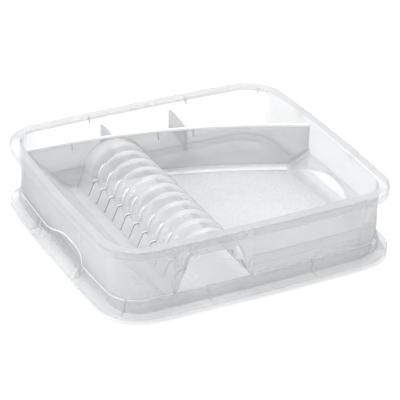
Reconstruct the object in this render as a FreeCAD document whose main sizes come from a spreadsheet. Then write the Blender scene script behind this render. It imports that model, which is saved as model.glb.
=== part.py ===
import FreeCAD, Part
import math
import os
import Sketcher

# Two-piece dish drying rack: a drip tray and a drainer basket that stands on it.
# Millimetres, +Z up.  The origin is on the ground at the middle of the plan;
# X runs along the long side and Y from the front to the back.
# The basket's sheet is split into named regions that touch face to face.

DRIVING = (
    # alias, value, what it is
    ("rim_length", 458.0, "basket rim, left to right at mid side"),
    ("rim_depth", 422.0, "basket rim, front to back at mid side"),
    ("rim_top", 110.0, "height of the rim above the ground"),
    ("side_curve", 2800.0, "bow radius of the left and right rim edges"),
    ("end_curve", 5200.0, "bow radius of the front and back rim edges"),
    ("rim_corner", 60.0, "plan radius of the rim corners"),
    ("rim_ledge", 15.0, "rim edge to the outer face of the wall"),
    ("lip_drop", 13.5, "height of the down-turned rim lip"),
    ("rim_roll", 4.0, "rounding of the rim's outer top edge"),
    ("gauge", 2.0, "sheet thickness of both mouldings"),
    ("foot_level", 26.0, "bottom edge of the basket wall"),
    ("floor_level", 28.5, "top face of the basin and trough floors"),
    ("cove_rise", 28.0, "height of the sloped foot of the basin wall"),
    ("cove_side_run", 30.0, "width of that slope at the side"),
    ("cove_end_run", 17.0, "width of that slope at the front"),
    ("cove_corner", 30.0, "plan radius of the basin floor's corner"),
    ("notch_back", 57.0, "back end of the finger notch in the wall's bottom edge"),
    ("notch_crest", -28.0, "y where the notch's long slope reaches its top"),
    ("notch_front", -73.0, "front end of the finger notch"),
    ("notch_rise", 22.0, "height of the finger notch"),
    ("rack_middle", -69.0, "x of the plate rack's centre line"),
    ("rack_crest", 99.5, "height of the plate rack"),
    ("rib_radius", 47.0, "arch radius over the ribs"),
    ("rib_pitch", 28.0, "distance between plate grooves"),
    ("rib_count", 10.0, "whole ribs"),
    ("groove_depth", 9.0, "depth of a plate groove"),
    ("groove_round", 4.0, "radius at the bottom of a groove"),
    ("flank_spread", 11.5, "how far each flank leans out at its foot"),
    ("slot_width", 2.6, "drain slot below each groove"),
    ("slot_low", 31.0, "bottom of the drain slots"),
    ("slot_high", 47.0, "top of the drain slots"),
    ("mouth_top", 78.0, "top of the tunnel mouth in the front wall"),
    ("mouth_margin", 2.0, "sheet left between the mouth and the rack"),
    ("trough_run", 70.0, "width of the sloped side of the left trough"),
    ("trough_rise", 74.0, "height of that slope"),
    ("partition_curve", 900.0, "plan radius of the cutlery partition"),
    ("partition_peak_x", -205.0, "x where the partition is furthest back"),
    ("partition_peak_y", 143.0, "y of the partition's face at that place"),
    ("partition_top", 104.0, "height of the partition and the dividers"),
    ("divider_gauge", 2.6, "thickness of a divider's web"),
    ("divider_one_x", -71.0, "left divider, x at its own reference line"),
    ("divider_one_y", 135.0, "left divider, y of that reference line"),
    ("divider_one_tilt", 8.0, "left divider's plan angle, degrees"),
    ("divider_two_x", 41.0, "right divider, x at its own reference line"),
    ("divider_two_y", 118.0, "right divider, y of that reference line"),
    ("divider_two_tilt", 8.5, "right divider's plan angle, degrees"),
    ("pocket_level", 36.0, "top face of the cutlery floors"),
    ("pocket_round", 34.0, "radius of the rounded pocket bottoms"),
    ("tray_length", 461.0, "tray flange, left to right at mid side"),
    ("tray_depth", 431.0, "tray flange, front to back at mid side"),
    ("tray_corner", 64.0, "plan radius of the tray's corners"),
    ("tray_flange_level", 11.0, "top face of the tray's flange"),
    ("tray_flange_width", 14.0, "width of the flange"),
    ("tray_seat_width", 10.0, "width of the raised seat"),
    ("tray_bead", 2.0, "height of the bead along the flange's edge"),
    ("grip_length", 130.0, "recess for the fingers in the tray's seat"),
    ("grip_reach", 17.0, "depth of that recess"),
    ("gusset_gauge", 1.2, "thickness of the stiffening ribs"),
    ("gusset_side_y", 76.0, "side ribs, distance from the middle"),
    ("gusset_end_x", 81.0, "front and back ribs, distance from the middle"),
    ("stop_rise", 3.0, "how far the tray's ribs stand above the seat"),
    ("fit_gap", 0.8, "clearance between the basket and those ribs"),
)

SHEET = "Sizes"
FAR = 400.0  # beyond every outline, for cutting tools

doc = FreeCAD.newDocument("dish_rack")
sheet = doc.addObject("Spreadsheet::Sheet", SHEET)


class Size:
    """A length that carries its number and the expression that gives it."""

    def __init__(self, number, text):
        self.number = float(number)
        self.text = text

    def __add__(self, other):
        other = as_size(other)
        return Size(self.number + other.number, "(%s + %s)" % (self.text, other.text))

    def __sub__(self, other):
        other = as_size(other)
        return Size(self.number - other.number, "(%s - %s)" % (self.text, other.text))

    def __rsub__(self, other):
        return as_size(other) - self

    def __mul__(self, other):
        other = as_size(other)
        return Size(self.number * other.number, "(%s * %s)" % (self.text, other.text))

    def __truediv__(self, other):
        other = as_size(other)
        return Size(self.number / other.number, "(%s / %s)" % (self.text, other.text))

    def __neg__(self):
        return Size(-self.number, "(0 - %s)" % self.text)

    def root(self):
        return Size(math.sqrt(self.number), "sqrt(%s)" % self.text)


def as_size(value):
    if isinstance(value, Size):
        return value
    return Size(value, "(%r)" % float(value))


class Sizes:
    """The driving dimensions, one attribute for each alias."""


S = Sizes()
for row, (alias, value, meaning) in enumerate(DRIVING, start=1):
    sheet.set("A%d" % row, alias)
    sheet.set("B%d" % row, str(value))
    sheet.set("C%d" % row, meaning)
    sheet.setAlias("B%d" % row, alias)
    setattr(S, alias, Size(value, "%s.%s" % (SHEET, alias)))
doc.recompute()

# Lines that several pieces share
WALL_OUTER = S.rim_ledge
WALL_INNER = S.rim_ledge + S.gauge
FLOOR_UNDER = S.floor_level - S.gauge
COVE_TOP = S.floor_level + S.cove_rise
ARCH_LEVEL = S.rack_crest - S.rib_radius
FOOT_HALF = S.rib_radius + S.flank_spread
INNER_HALF_LENGTH = S.rim_length / 2 - WALL_INNER
INNER_HALF_DEPTH = S.rim_depth / 2 - WALL_INNER
FIRST_GROOVE_Y = S.rib_pitch / 2 - INNER_HALF_DEPTH
GROOVE_BOTTOM = S.rib_radius - S.groove_depth
HALF_PITCH = S.rib_pitch / 2
RIDGE_ROUND = (HALF_PITCH * HALF_PITCH + S.groove_depth * S.groove_depth) / (S.groove_depth * 2) - S.groove_round
SEAT_OUTER = S.tray_flange_width
SEAT_INNER = S.tray_flange_width + S.tray_seat_width
POCKET_UNDER = S.pocket_level - S.gauge


# ---------------------------------------------------------------- sketches

def bind(thing, path, size):
    """Tie one property of a document object to the sheet."""
    thing.setExpression(path, size.text)


def origin_plane(body, role):
    for feature in body.Origin.OriginFeatures:
        if feature.Role == role:
            return feature
    raise ValueError(role)


def sketch_in(body, name, role="XY_Plane", lift=None):
    """An empty sketch on one of the body's origin planes, lifted along its normal."""
    sketch = body.newObject("Sketcher::SketchObject", name)
    sketch.AttachmentSupport = [(origin_plane(body, role), "")]
    sketch.MapMode = "FlatFace"
    if lift is not None:
        sketch.AttachmentOffset = FreeCAD.Placement(FreeCAD.Vector(0, 0, lift.number), FreeCAD.Rotation())
        bind(sketch, "AttachmentOffset.Base.z", lift)
    return sketch


def datum(sketch, kind, references, size):
    """Add one dimension to a sketch and tie it to the sheet."""
    size = as_size(size)
    index = sketch.addConstraint(Sketcher.Constraint(kind, *references, size.number))
    name = "d%d" % index
    sketch.renameConstraint(index, name)
    bind(sketch, "Constraints.%s" % name, size)


def fix_point(sketch, geometry, point, x, y):
    """Dimension one point of a sketch from the sketch's origin."""
    for kind, axis, size in (("DistanceX", -2, as_size(x)), ("DistanceY", -1, as_size(y))):
        if abs(size.number) < 1e-9:
            sketch.addConstraint(Sketcher.Constraint("PointOnObject", geometry, point, axis))
        else:
            datum(sketch, kind, (-1, 1, geometry, point), size)


def arc(centre_x, centre_y, radius, start, end):
    circle = Part.Circle(FreeCAD.Vector(centre_x, centre_y, 0), FreeCAD.Vector(0, 0, 1), radius)
    return Part.ArcOfCircle(circle, start, end)


def polygon(sketch, corners):
    """A closed polygon whose corners are all dimensioned."""
    first = sketch.GeometryCount
    count = len(corners)
    for index in range(count):
        here = corners[index]
        there = corners[(index + 1) % count]
        start = FreeCAD.Vector(as_size(here[0]).number, as_size(here[1]).number, 0)
        end = FreeCAD.Vector(as_size(there[0]).number, as_size(there[1]).number, 0)
        sketch.addGeometry(Part.LineSegment(start, end), False)
    for index in range(count):
        following = first + (index + 1) % count
        sketch.addConstraint(Sketcher.Constraint("Coincident", first + index, 2, following, 1))
    for index, (x, y) in enumerate(corners):
        fix_point(sketch, first + index, 1, x, y)
    return sketch


def rectangle(sketch, x_low, x_high, y_low, y_high):
    return polygon(sketch, ((x_low, y_low), (x_high, y_low), (x_high, y_high), (x_low, y_high)))


def bowed_outline(sketch, half_x, half_y, side_radius, end_radius, corner):
    """A rounded rectangle with four bowed sides, as eight tangent arcs."""
    side_centre = side_radius - half_x
    end_centre = end_radius - half_y
    # the corner's centre is inside both bow circles, at its own radius from each
    reach_side = side_radius.number - corner.number
    reach_end = end_radius.number - corner.number
    across, down = side_centre.number, end_centre.number
    gap = math.hypot(across, down)
    along = (reach_side ** 2 - reach_end ** 2 + gap ** 2) / (2 * gap)
    aside = math.sqrt(reach_side ** 2 - along ** 2)
    unit_x, unit_y = across / gap, -down / gap
    candidates = [(-across + unit_x * along - turn * unit_y * aside, unit_y * along + turn * unit_x * aside)
                  for turn in (1, -1)]
    corner_x, corner_y = max(candidates)
    side_angle = math.atan2(corner_y, corner_x + across)
    end_angle = math.atan2(corner_y + down, corner_x)
    first = sketch.GeometryCount
    turn = math.pi
    pieces = (
        arc(-across, 0, side_radius.number, -side_angle, side_angle),
        arc(corner_x, corner_y, corner.number, side_angle, end_angle),
        arc(0, -down, end_radius.number, end_angle, turn - end_angle),
        arc(-corner_x, corner_y, corner.number, turn - end_angle, turn - side_angle),
        arc(across, 0, side_radius.number, turn - side_angle, turn + side_angle),
        arc(-corner_x, -corner_y, corner.number, turn + side_angle, turn + end_angle),
        arc(0, down, end_radius.number, turn + end_angle, 2 * turn - end_angle),
        arc(corner_x, -corner_y, corner.number, 2 * turn - end_angle, 2 * turn - side_angle),
    )
    for piece in pieces:
        sketch.addGeometry(piece, False)
    for index in range(8):
        following = first + (index + 1) % 8
        sketch.addConstraint(Sketcher.Constraint("Tangent", first + index, 2, following, 1))
    for index, axis in ((0, -1), (4, -1), (2, -2), (6, -2)):
        sketch.addConstraint(Sketcher.Constraint("PointOnObject", first + index, 3, axis))
    sketch.addConstraint(Sketcher.Constraint("Equal", first, first + 4))
    sketch.addConstraint(Sketcher.Constraint("Equal", first + 2, first + 6))
    for index in (3, 5, 7):
        sketch.addConstraint(Sketcher.Constraint("Equal", first + 1, first + index))
    datum(sketch, "Radius", (first,), side_radius)
    datum(sketch, "Radius", (first + 2,), end_radius)
    datum(sketch, "Radius", (first + 1,), corner)
    datum(sketch, "DistanceX", (first, 3, -1, 1), side_centre)
    datum(sketch, "DistanceX", (-1, 1, first + 4, 3), side_centre)
    datum(sketch, "DistanceY", (first + 2, 3, -1, 1), end_centre)
    datum(sketch, "DistanceY", (-1, 1, first + 6, 3), end_centre)
    return sketch


def rim_outline(sketch, inset):
    """The basket rim's outline, moved in by an even distance."""
    return bowed_outline(sketch, S.rim_length / 2 - inset, S.rim_depth / 2 - inset,
                         S.side_curve - inset, S.end_curve - inset, S.rim_corner - inset)


def tray_outline(sketch, inset):
    """The tray flange's outline, moved in by an even distance."""
    return bowed_outline(sketch, S.tray_length / 2 - inset, S.tray_depth / 2 - inset,
                         S.side_curve - inset, S.end_curve - inset, S.tray_corner - inset)


def basin_outline(sketch):
    """The basin floor's outline, inside the sloped foot of the wall."""
    return bowed_outline(sketch, INNER_HALF_LENGTH - S.cove_side_run, INNER_HALF_DEPTH - S.cove_end_run,
                         S.side_curve - WALL_INNER, S.end_curve - WALL_INNER, S.cove_corner)


def partition_region(sketch, inset, far_y):
    """Everything between the partition's face, moved back by inset, and the line at far_y."""
    radius = S.partition_curve + inset
    centre_x = S.partition_peak_x
    centre_y = S.partition_peak_y - S.partition_curve
    edge = as_size(FAR * 0.8)
    start_y = centre_y.number + math.sqrt(radius.number ** 2 - (edge.number - centre_x.number) ** 2)
    end_y = centre_y.number + math.sqrt(radius.number ** 2 - (edge.number + centre_x.number) ** 2)
    first = sketch.GeometryCount
    start = math.atan2(start_y - centre_y.number, edge.number - centre_x.number)
    end = math.atan2(end_y - centre_y.number, -edge.number - centre_x.number)
    sketch.addGeometry(arc(centre_x.number, centre_y.number, radius.number, start, end), False)
    far = as_size(far_y)
    corners = ((-edge.number, end_y), (-edge.number, far.number), (edge.number, far.number), (edge.number, start_y))
    for here, there in zip(corners, corners[1:]):
        sketch.addGeometry(Part.LineSegment(FreeCAD.Vector(*here, 0), FreeCAD.Vector(*there, 0)), False)
    for index in range(4):
        following = first + (index + 1) % 4
        sketch.addConstraint(Sketcher.Constraint("Coincident", first + index, 2, following, 1))
    datum(sketch, "Radius", (first,), radius)
    fix_point(sketch, first, 3, centre_x, centre_y)
    sketch.addConstraint(Sketcher.Constraint("Vertical", first + 1))
    sketch.addConstraint(Sketcher.Constraint("Vertical", first + 3))
    fix_point(sketch, first + 1, 2, -edge, far)
    fix_point(sketch, first + 2, 2, edge, far)
    return sketch


# ---------------------------------------------------------------- features

def new_body(name):
    body = doc.addObject("PartDesign::Body", name)
    body.Label = name
    return body


def pad(body, sketch, height, both_ways=False):
    """Raise a sketch along its normal, or half of the height each way."""
    feature = body.newObject("PartDesign::Pad", sketch.Name + "_pad")
    feature.Profile = sketch
    feature.Length = as_size(height).number
    bind(feature, "Length", as_size(height))
    if both_ways:
        feature.SideType = "Symmetric"
    sketch.Visibility = False
    return feature


def cut_through(body, sketch):
    """Cut a sketch through the whole body, both ways along its normal."""
    feature = body.newObject("PartDesign::Pocket", sketch.Name + "_cut")
    feature.Profile = sketch
    feature.Type = "ThroughAll"
    feature.SideType = "Symmetric"
    sketch.Visibility = False
    return feature


def loft(body, sketches, kind):
    """A ruled loft through two sketches, added to the body or cut from it."""
    feature = body.newObject("PartDesign::%sLoft" % kind, sketches[0].Name + "_loft")
    feature.Profile = sketches[0]
    feature.Sections = sketches[1:]
    feature.Ruled = True
    for sketch in sketches:
        sketch.Visibility = False
    return feature


def ring(name, outline, outer, inner, low, high):
    """A band between two parallel outlines, from one level to another."""
    body = new_body(name)
    sketch = sketch_in(body, name + "_ring", lift=low)
    outline(sketch, outer)
    outline(sketch, inner)
    pad(body, sketch, high - low)
    return body


def keep_before_partition(body):
    """Trim a body to the front face of the cutlery partition."""
    cut_through(body, partition_region(sketch_in(body, body.Name + "_front"), as_size(0), as_size(FAR)))


def keep_behind_partition(body):
    """Trim a body to the back face of the cutlery partition."""
    cut_through(body, partition_region(sketch_in(body, body.Name + "_behind"), S.gauge, as_size(-FAR)))


# ---------------------------------------------------------------- the tray

def build_tray():
    """The drip tray: floor, wall, raised seat, flange, finger grips and ribs."""
    seat_top = S.foot_level
    seat_under = S.foot_level - S.gauge
    flange_under = S.tray_flange_level - S.gauge

    floor = new_body("tray_floor")
    pad(floor, tray_outline(sketch_in(floor, "tray_floor_plan"), SEAT_INNER), S.gauge)

    wall = ring("tray_wall", tray_outline, SEAT_INNER - S.gauge, SEAT_INNER, as_size(0), seat_under)

    seat = ring("tray_seat", tray_outline, SEAT_OUTER, SEAT_INNER, seat_under, seat_top)
    riser = sketch_in(seat, "tray_seat_riser", lift=flange_under)
    tray_outline(riser, SEAT_OUTER)
    tray_outline(riser, SEAT_OUTER + S.gauge)
    pad(seat, riser, seat_top - flange_under)

    flange = ring("tray_flange", tray_outline, as_size(0), SEAT_OUTER, flange_under, S.tray_flange_level)
    bead = sketch_in(flange, "tray_flange_bead", lift=flange_under - S.tray_bead)
    tray_outline(bead, as_size(0))
    tray_outline(bead, S.gauge)
    pad(flange, bead, S.tray_bead)

    # the grips are shallow boxes let into the seat on the left and right
    half = S.grip_length / 2
    near = S.tray_length / 2 - SEAT_OUTER + S.gauge
    far = S.tray_length / 2 - SEAT_OUTER - S.gauge / 2 - S.grip_reach
    room = new_body("tray_inside_flange")
    pad(room, tray_outline(sketch_in(room, "tray_inside_flange_plan"), SEAT_OUTER), S.rim_top)
    for body in (seat, wall):
        for side in (-1, 1):
            opening = sketch_in(body, "%s_grip_%d" % (body.Name, side + 1), lift=flange_under)
            low, high = sorted((far * side, (near + S.tray_flange_width) * side), key=lambda size: size.number)
            rectangle(opening, low, high, -half, half)
            cut = body.newObject("PartDesign::Pocket", opening.Name + "_cut")
            cut.Profile = opening
            cut.Type = "ThroughAll"
            cut.Reversed = True
    grips = []
    for name, side in (("tray_grip_left", -1), ("tray_grip_right", 1)):
        grip = new_body(name + "_blank")
        low, high = sorted((far * side, near * side), key=lambda size: size.number)
        block = rectangle(sketch_in(grip, name + "_plan", lift=flange_under), low, high, -half, half)
        pad(grip, block, seat_top - flange_under)
        inner_low, inner_high = sorted(((far + S.gauge) * side, (near + S.gauge) * side),
                                       key=lambda size: size.number)
        hollow = sketch_in(grip, name + "_hollow", lift=S.tray_flange_level)
        rectangle(hollow, inner_low, inner_high, S.gauge - half, half - S.gauge)
        cut = grip.newObject("PartDesign::Pocket", name + "_hollow_cut")
        cut.Profile = hollow
        cut.Type = "ThroughAll"
        cut.Reversed = True
        grips.append(common(name, grip, room))

    ribs = stiffening_ribs(
        "tray_ribs", tray_outline, S.tray_length / 2, S.tray_depth / 2, S.tray_corner,
        S.tray_flange_level, seat_top + S.stop_rise, S.tray_bead, SEAT_OUTER - S.gauge / 2,
        (("tray", SEAT_OUTER, as_size(0), seat_top), ("rim", WALL_OUTER - S.fit_gap, seat_top, seat_top + S.rim_top)))
    halves = []
    for name, side in (("tray_seat_front", -1), ("tray_seat_back", 1)):
        half_room = doc.addObject("Part::Box", name + "_room")
        bind(half_room, "Length", S.tray_length)
        bind(half_room, "Width", S.tray_depth / 2)
        bind(half_room, "Height", S.rim_top)
        bind(half_room, "Placement.Base.x", -S.tray_length / 2)
        bind(half_room, "Placement.Base.y", S.tray_depth * (side - 1) / 4)
        halves.append(common(name, seat, half_room))
    return [floor, wall, *halves, flange, *grips, ribs]


# ---------------------------------------------------------------- shared tools

def common(name, base, room):
    """The part of a piece that lies inside a room."""
    piece = doc.addObject("Part::Common", name)
    piece.Label = name
    piece.Base = base
    piece.Tool = room
    return piece


def cut_by(name, base, tool):
    """The part of a piece that lies outside a tool."""
    piece = doc.addObject("Part::Cut", name)
    piece.Label = name
    piece.Base = base
    piece.Tool = tool
    return piece


OUTLINES = {"rim": rim_outline, "tray": tray_outline}


def stiffening_ribs(name, outline, half_x, half_y, corner, low, high, low_inset, high_inset, cores):
    """Twelve thin sloping plates around a wall: three on each side and one in each corner."""
    reach = S.rim_ledge * 3
    plates = []
    for side in (-1, 1):
        for shift in (-1, 1):
            angle = math.degrees(math.atan2(shift, side))
            plates.append(((half_x - reach) * side, S.gusset_side_y * shift, 90 - 90 * side, reach))
            plates.append((S.gusset_end_x * shift, (half_y - reach) * side, 90 * side, reach))
            plates.append(((half_x - corner) * side, (half_y - corner) * shift, angle, corner))
    boxes = []
    for number, (x, y, angle, length) in enumerate(plates):
        box = doc.addObject("Part::Box", "%s_plate_%d" % (name, number))
        turn = math.radians(angle)
        half = S.gusset_gauge / 2
        place = {"Length": length, "Width": S.gusset_gauge, "Height": high - low,
                 "Placement.Base.x": x + half * math.sin(turn),
                 "Placement.Base.y": y - half * math.cos(turn),
                 "Placement.Base.z": low}
        box.Placement = FreeCAD.Placement(FreeCAD.Vector(), FreeCAD.Rotation(FreeCAD.Vector(0, 0, 1), angle))
        for path, size in place.items():
            bind(box, path, size)
        boxes.append(box)
    plates_together = doc.addObject("Part::Compound", name + "_plates")
    plates_together.Links = boxes
    slope = new_body(name + "_slope")
    foot = outline(sketch_in(slope, name + "_foot", lift=low), low_inset)
    crown = outline(sketch_in(slope, name + "_crown", lift=high), high_inset)
    loft(slope, (foot, crown), "Additive")
    core = new_body(name + "_core")
    for number, (kind, inset, bottom, top) in enumerate(cores):
        plan = sketch_in(core, "%s_core_%d" % (name, number), lift=bottom)
        pad(core, OUTLINES[kind](plan, inset), top - bottom)
    return cut_by(name, common(name + "_sloped", plates_together, slope), core)


def build_rooms():
    """The spaces inside the wall before and behind the partition, used to trim pieces."""
    front = new_body("front_room")
    pad(front, rim_outline(sketch_in(front, "front_room_plan"), WALL_INNER), S.rim_top)
    keep_before_partition(front)
    back = new_body("cutlery_bay")
    pad(back, rim_outline(sketch_in(back, "cutlery_bay_plan"), WALL_INNER), S.rim_top)
    keep_behind_partition(back)
    return front, back


def along_depth(name, corners):
    """A bar that runs from front to back, past the walls, with the given section in X and Z."""
    body = new_body(name)
    polygon(sketch_in(body, name + "_section", "XZ_Plane"), corners)
    pad(body, body.Group[0], S.rim_depth, both_ways=True)
    return body


# ---------------------------------------------------------------- the basket's shell

def build_rim():
    """The flat rim flange with its rolled edge and the lip below it."""
    under = S.rim_top - S.gauge
    body = ring("drainer_rim", rim_outline, as_size(0), WALL_INNER, under, S.rim_top)
    lip = sketch_in(body, "drainer_rim_lip", lift=S.rim_top - S.lip_drop)
    rim_outline(lip, as_size(0))
    rim_outline(lip, S.gauge)
    pad(body, lip, S.lip_drop - S.gauge)
    doc.recompute()
    shape = body.Tip.Shape
    rolled = []
    for number, edge in enumerate(shape.Edges, start=1):
        box = edge.BoundBox
        middle = edge.valueAt((edge.FirstParameter + edge.LastParameter) / 2)
        on_top = abs(box.ZMin - S.rim_top.number) < 1e-6
        clear_of_hole = (abs(middle.x) > INNER_HALF_LENGTH.number + 1) or (abs(middle.y) > INNER_HALF_DEPTH.number + 1)
        beyond = math.hypot(middle.x, middle.y) > math.hypot(INNER_HALF_LENGTH.number, INNER_HALF_DEPTH.number)
        if on_top and box.ZLength < 1e-6 and (clear_of_hole or beyond):
            rolled.append("Edge%d" % number)
    fillet = body.newObject("PartDesign::Fillet", "drainer_rim_roll")
    fillet.Base = (body.Group[-2], rolled)
    fillet.Radius = S.rim_roll.number
    bind(fillet, "Radius", S.rim_roll)
    return body


def build_wall():
    """The basket's wall with the finger notches and the mouth of the tunnel under the rack."""
    under = S.rim_top - S.gauge
    body = ring("basket_wall", rim_outline, WALL_OUTER, WALL_INNER, S.foot_level, under)
    notch = sketch_in(body, "basket_wall_notch", "YZ_Plane")
    low = S.foot_level - S.gauge
    top = S.foot_level + S.notch_rise
    chamfer = S.notch_rise / 2
    polygon(notch, ((S.notch_front, low), (S.notch_back, low), (S.notch_back, S.foot_level),
                    (S.notch_crest, top), (S.notch_front + chamfer, top), (S.notch_front, top - chamfer)))
    cut_through(body, notch)
    mouth = sketch_in(body, "basket_wall_mouth", "XZ_Plane")
    foot = FOOT_HALF - S.mouth_margin
    rise = S.mouth_top - ARCH_LEVEL
    crown = (S.rib_radius * S.rib_radius - rise * rise).root() - S.mouth_margin
    middle = S.rack_middle
    polygon(mouth, ((middle - foot, low), (middle + foot, low),
                    (middle + crown, S.mouth_top), (middle - crown, S.mouth_top)))
    cut = body.newObject("PartDesign::Pocket", "basket_wall_mouth_cut")
    cut.Profile = mouth
    cut.Type = "ThroughAll"
    cut.Reversed = True
    return body


def build_basin(front_room, rack_block):
    """The right-hand basin: its floor and the sloped foot of the wall around it."""
    floor = new_body("basin_floor_blank")
    pad(floor, basin_outline(sketch_in(floor, "basin_floor_plan", lift=FLOOR_UNDER)), S.gauge)
    edge = S.rack_middle + FOOT_HALF
    cut_through(floor, rectangle(sketch_in(floor, "basin_floor_edge"), as_size(-FAR), edge,
                                 as_size(-FAR), as_size(FAR)))
    cove = new_body("basin_cove_funnel")
    low = basin_outline(sketch_in(cove, "cove_low_under", lift=FLOOR_UNDER))
    high = rim_outline(sketch_in(cove, "cove_high_under", lift=COVE_TOP - S.gauge), WALL_INNER)
    loft(cove, (low, high), "Additive")
    pad(cove, rim_outline(sketch_in(cove, "cove_crown", lift=COVE_TOP - S.gauge), WALL_INNER), S.gauge)
    low = basin_outline(sketch_in(cove, "cove_low_top", lift=S.floor_level))
    high = rim_outline(sketch_in(cove, "cove_high_top", lift=COVE_TOP), WALL_INNER)
    loft(cove, (low, high), "Subtractive")
    cut_through(cove, basin_outline(sketch_in(cove, "cove_floor_hole")))
    cut_through(cove, rectangle(sketch_in(cove, "cove_left_end"), as_size(-FAR), S.rack_middle,
                                as_size(-FAR), as_size(FAR)))
    clear_of_rack = cut_by("basin_cove_blank", cove, rack_block)
    return [common("basin_floor", floor, front_room), common("basin_cove", clear_of_rack, front_room)]


def build_trough(front_room):
    """The left-hand trough: a narrow floor and one long slope up to the wall."""
    floor_end = S.rack_middle - FOOT_HALF
    slope_foot = S.trough_run - INNER_HALF_LENGTH
    floor = along_depth("trough_floor_blank", (
        (slope_foot, FLOOR_UNDER), (floor_end, FLOOR_UNDER), (floor_end, S.floor_level),
        (slope_foot, S.floor_level)))
    # the slope runs on past the wall, which trims it
    far_x = slope_foot - S.trough_run * 1.1
    far_z = S.floor_level + S.trough_rise * 1.1
    slope = along_depth("trough_slope_blank", (
        (far_x, far_z - S.gauge), (slope_foot, FLOOR_UNDER), (slope_foot, S.floor_level), (far_x, far_z)))
    return [common("trough_floor", floor, front_room), common("trough_slope", slope, front_room)]


# ---------------------------------------------------------------- the plate rack

TOE = S.gauge / 2


def flank_outer(level):
    """Distance of a flank's outer face from the rack's centre line at a level."""
    lean = (FOOT_HALF - TOE - S.rib_radius) / (ARCH_LEVEL - S.floor_level)
    return S.rib_radius + lean * (ARCH_LEVEL - level)


def build_rack_block():
    """The solid outline of the rack's flanks, used to trim what runs up to it."""
    side = ((FOOT_HALF, FLOOR_UNDER), (FOOT_HALF, S.floor_level), (FOOT_HALF - TOE, S.floor_level),
            (S.rib_radius, ARCH_LEVEL), (S.rib_radius, COVE_TOP + S.gauge))
    corners = [(S.rack_middle + x, z) for x, z in side]
    corners += [(S.rack_middle - x, z) for x, z in reversed(side)]
    return along_depth("rack_block", corners)


def build_flanks(front_room):
    """The two planar sides of the rack, each with a ledge below the ribs and a row of slots."""
    skin = S.gauge * 1.1
    ledge_under = ARCH_LEVEL - S.gauge
    section = ((GROOVE_BOTTOM - S.gauge, ledge_under), (flank_outer(ledge_under) - skin, ledge_under),
               (flank_outer(FLOOR_UNDER) - skin, FLOOR_UNDER), (FOOT_HALF, FLOOR_UNDER),
               (FOOT_HALF, S.floor_level), (FOOT_HALF - TOE, S.floor_level),
               (S.rib_radius, ARCH_LEVEL), (GROOVE_BOTTOM - S.gauge, ARCH_LEVEL))
    flanks = []
    for name, side in (("rack_flank_left", -1), ("rack_flank_right", 1)):
        body = along_depth(name + "_blank", [(S.rack_middle + x * side, z) for x, z in section])
        slot = sketch_in(body, name + "_slot", "YZ_Plane")
        half = S.slot_width / 2
        rectangle(slot, FIRST_GROOVE_Y - half, FIRST_GROOVE_Y + half, S.slot_low, S.slot_high)
        cut = cut_through(body, slot)
        row = body.newObject("PartDesign::LinearPattern", name + "_slots")
        row.Originals = [cut]
        row.Direction = (slot, ["H_Axis"])
        bind(row, "Length", S.rib_pitch * S.rib_count)
        bind(row, "Occurrences", S.rib_count + 1)
        body.Tip = row
        flanks.append(common(name, body, front_room))
    return flanks


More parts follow.
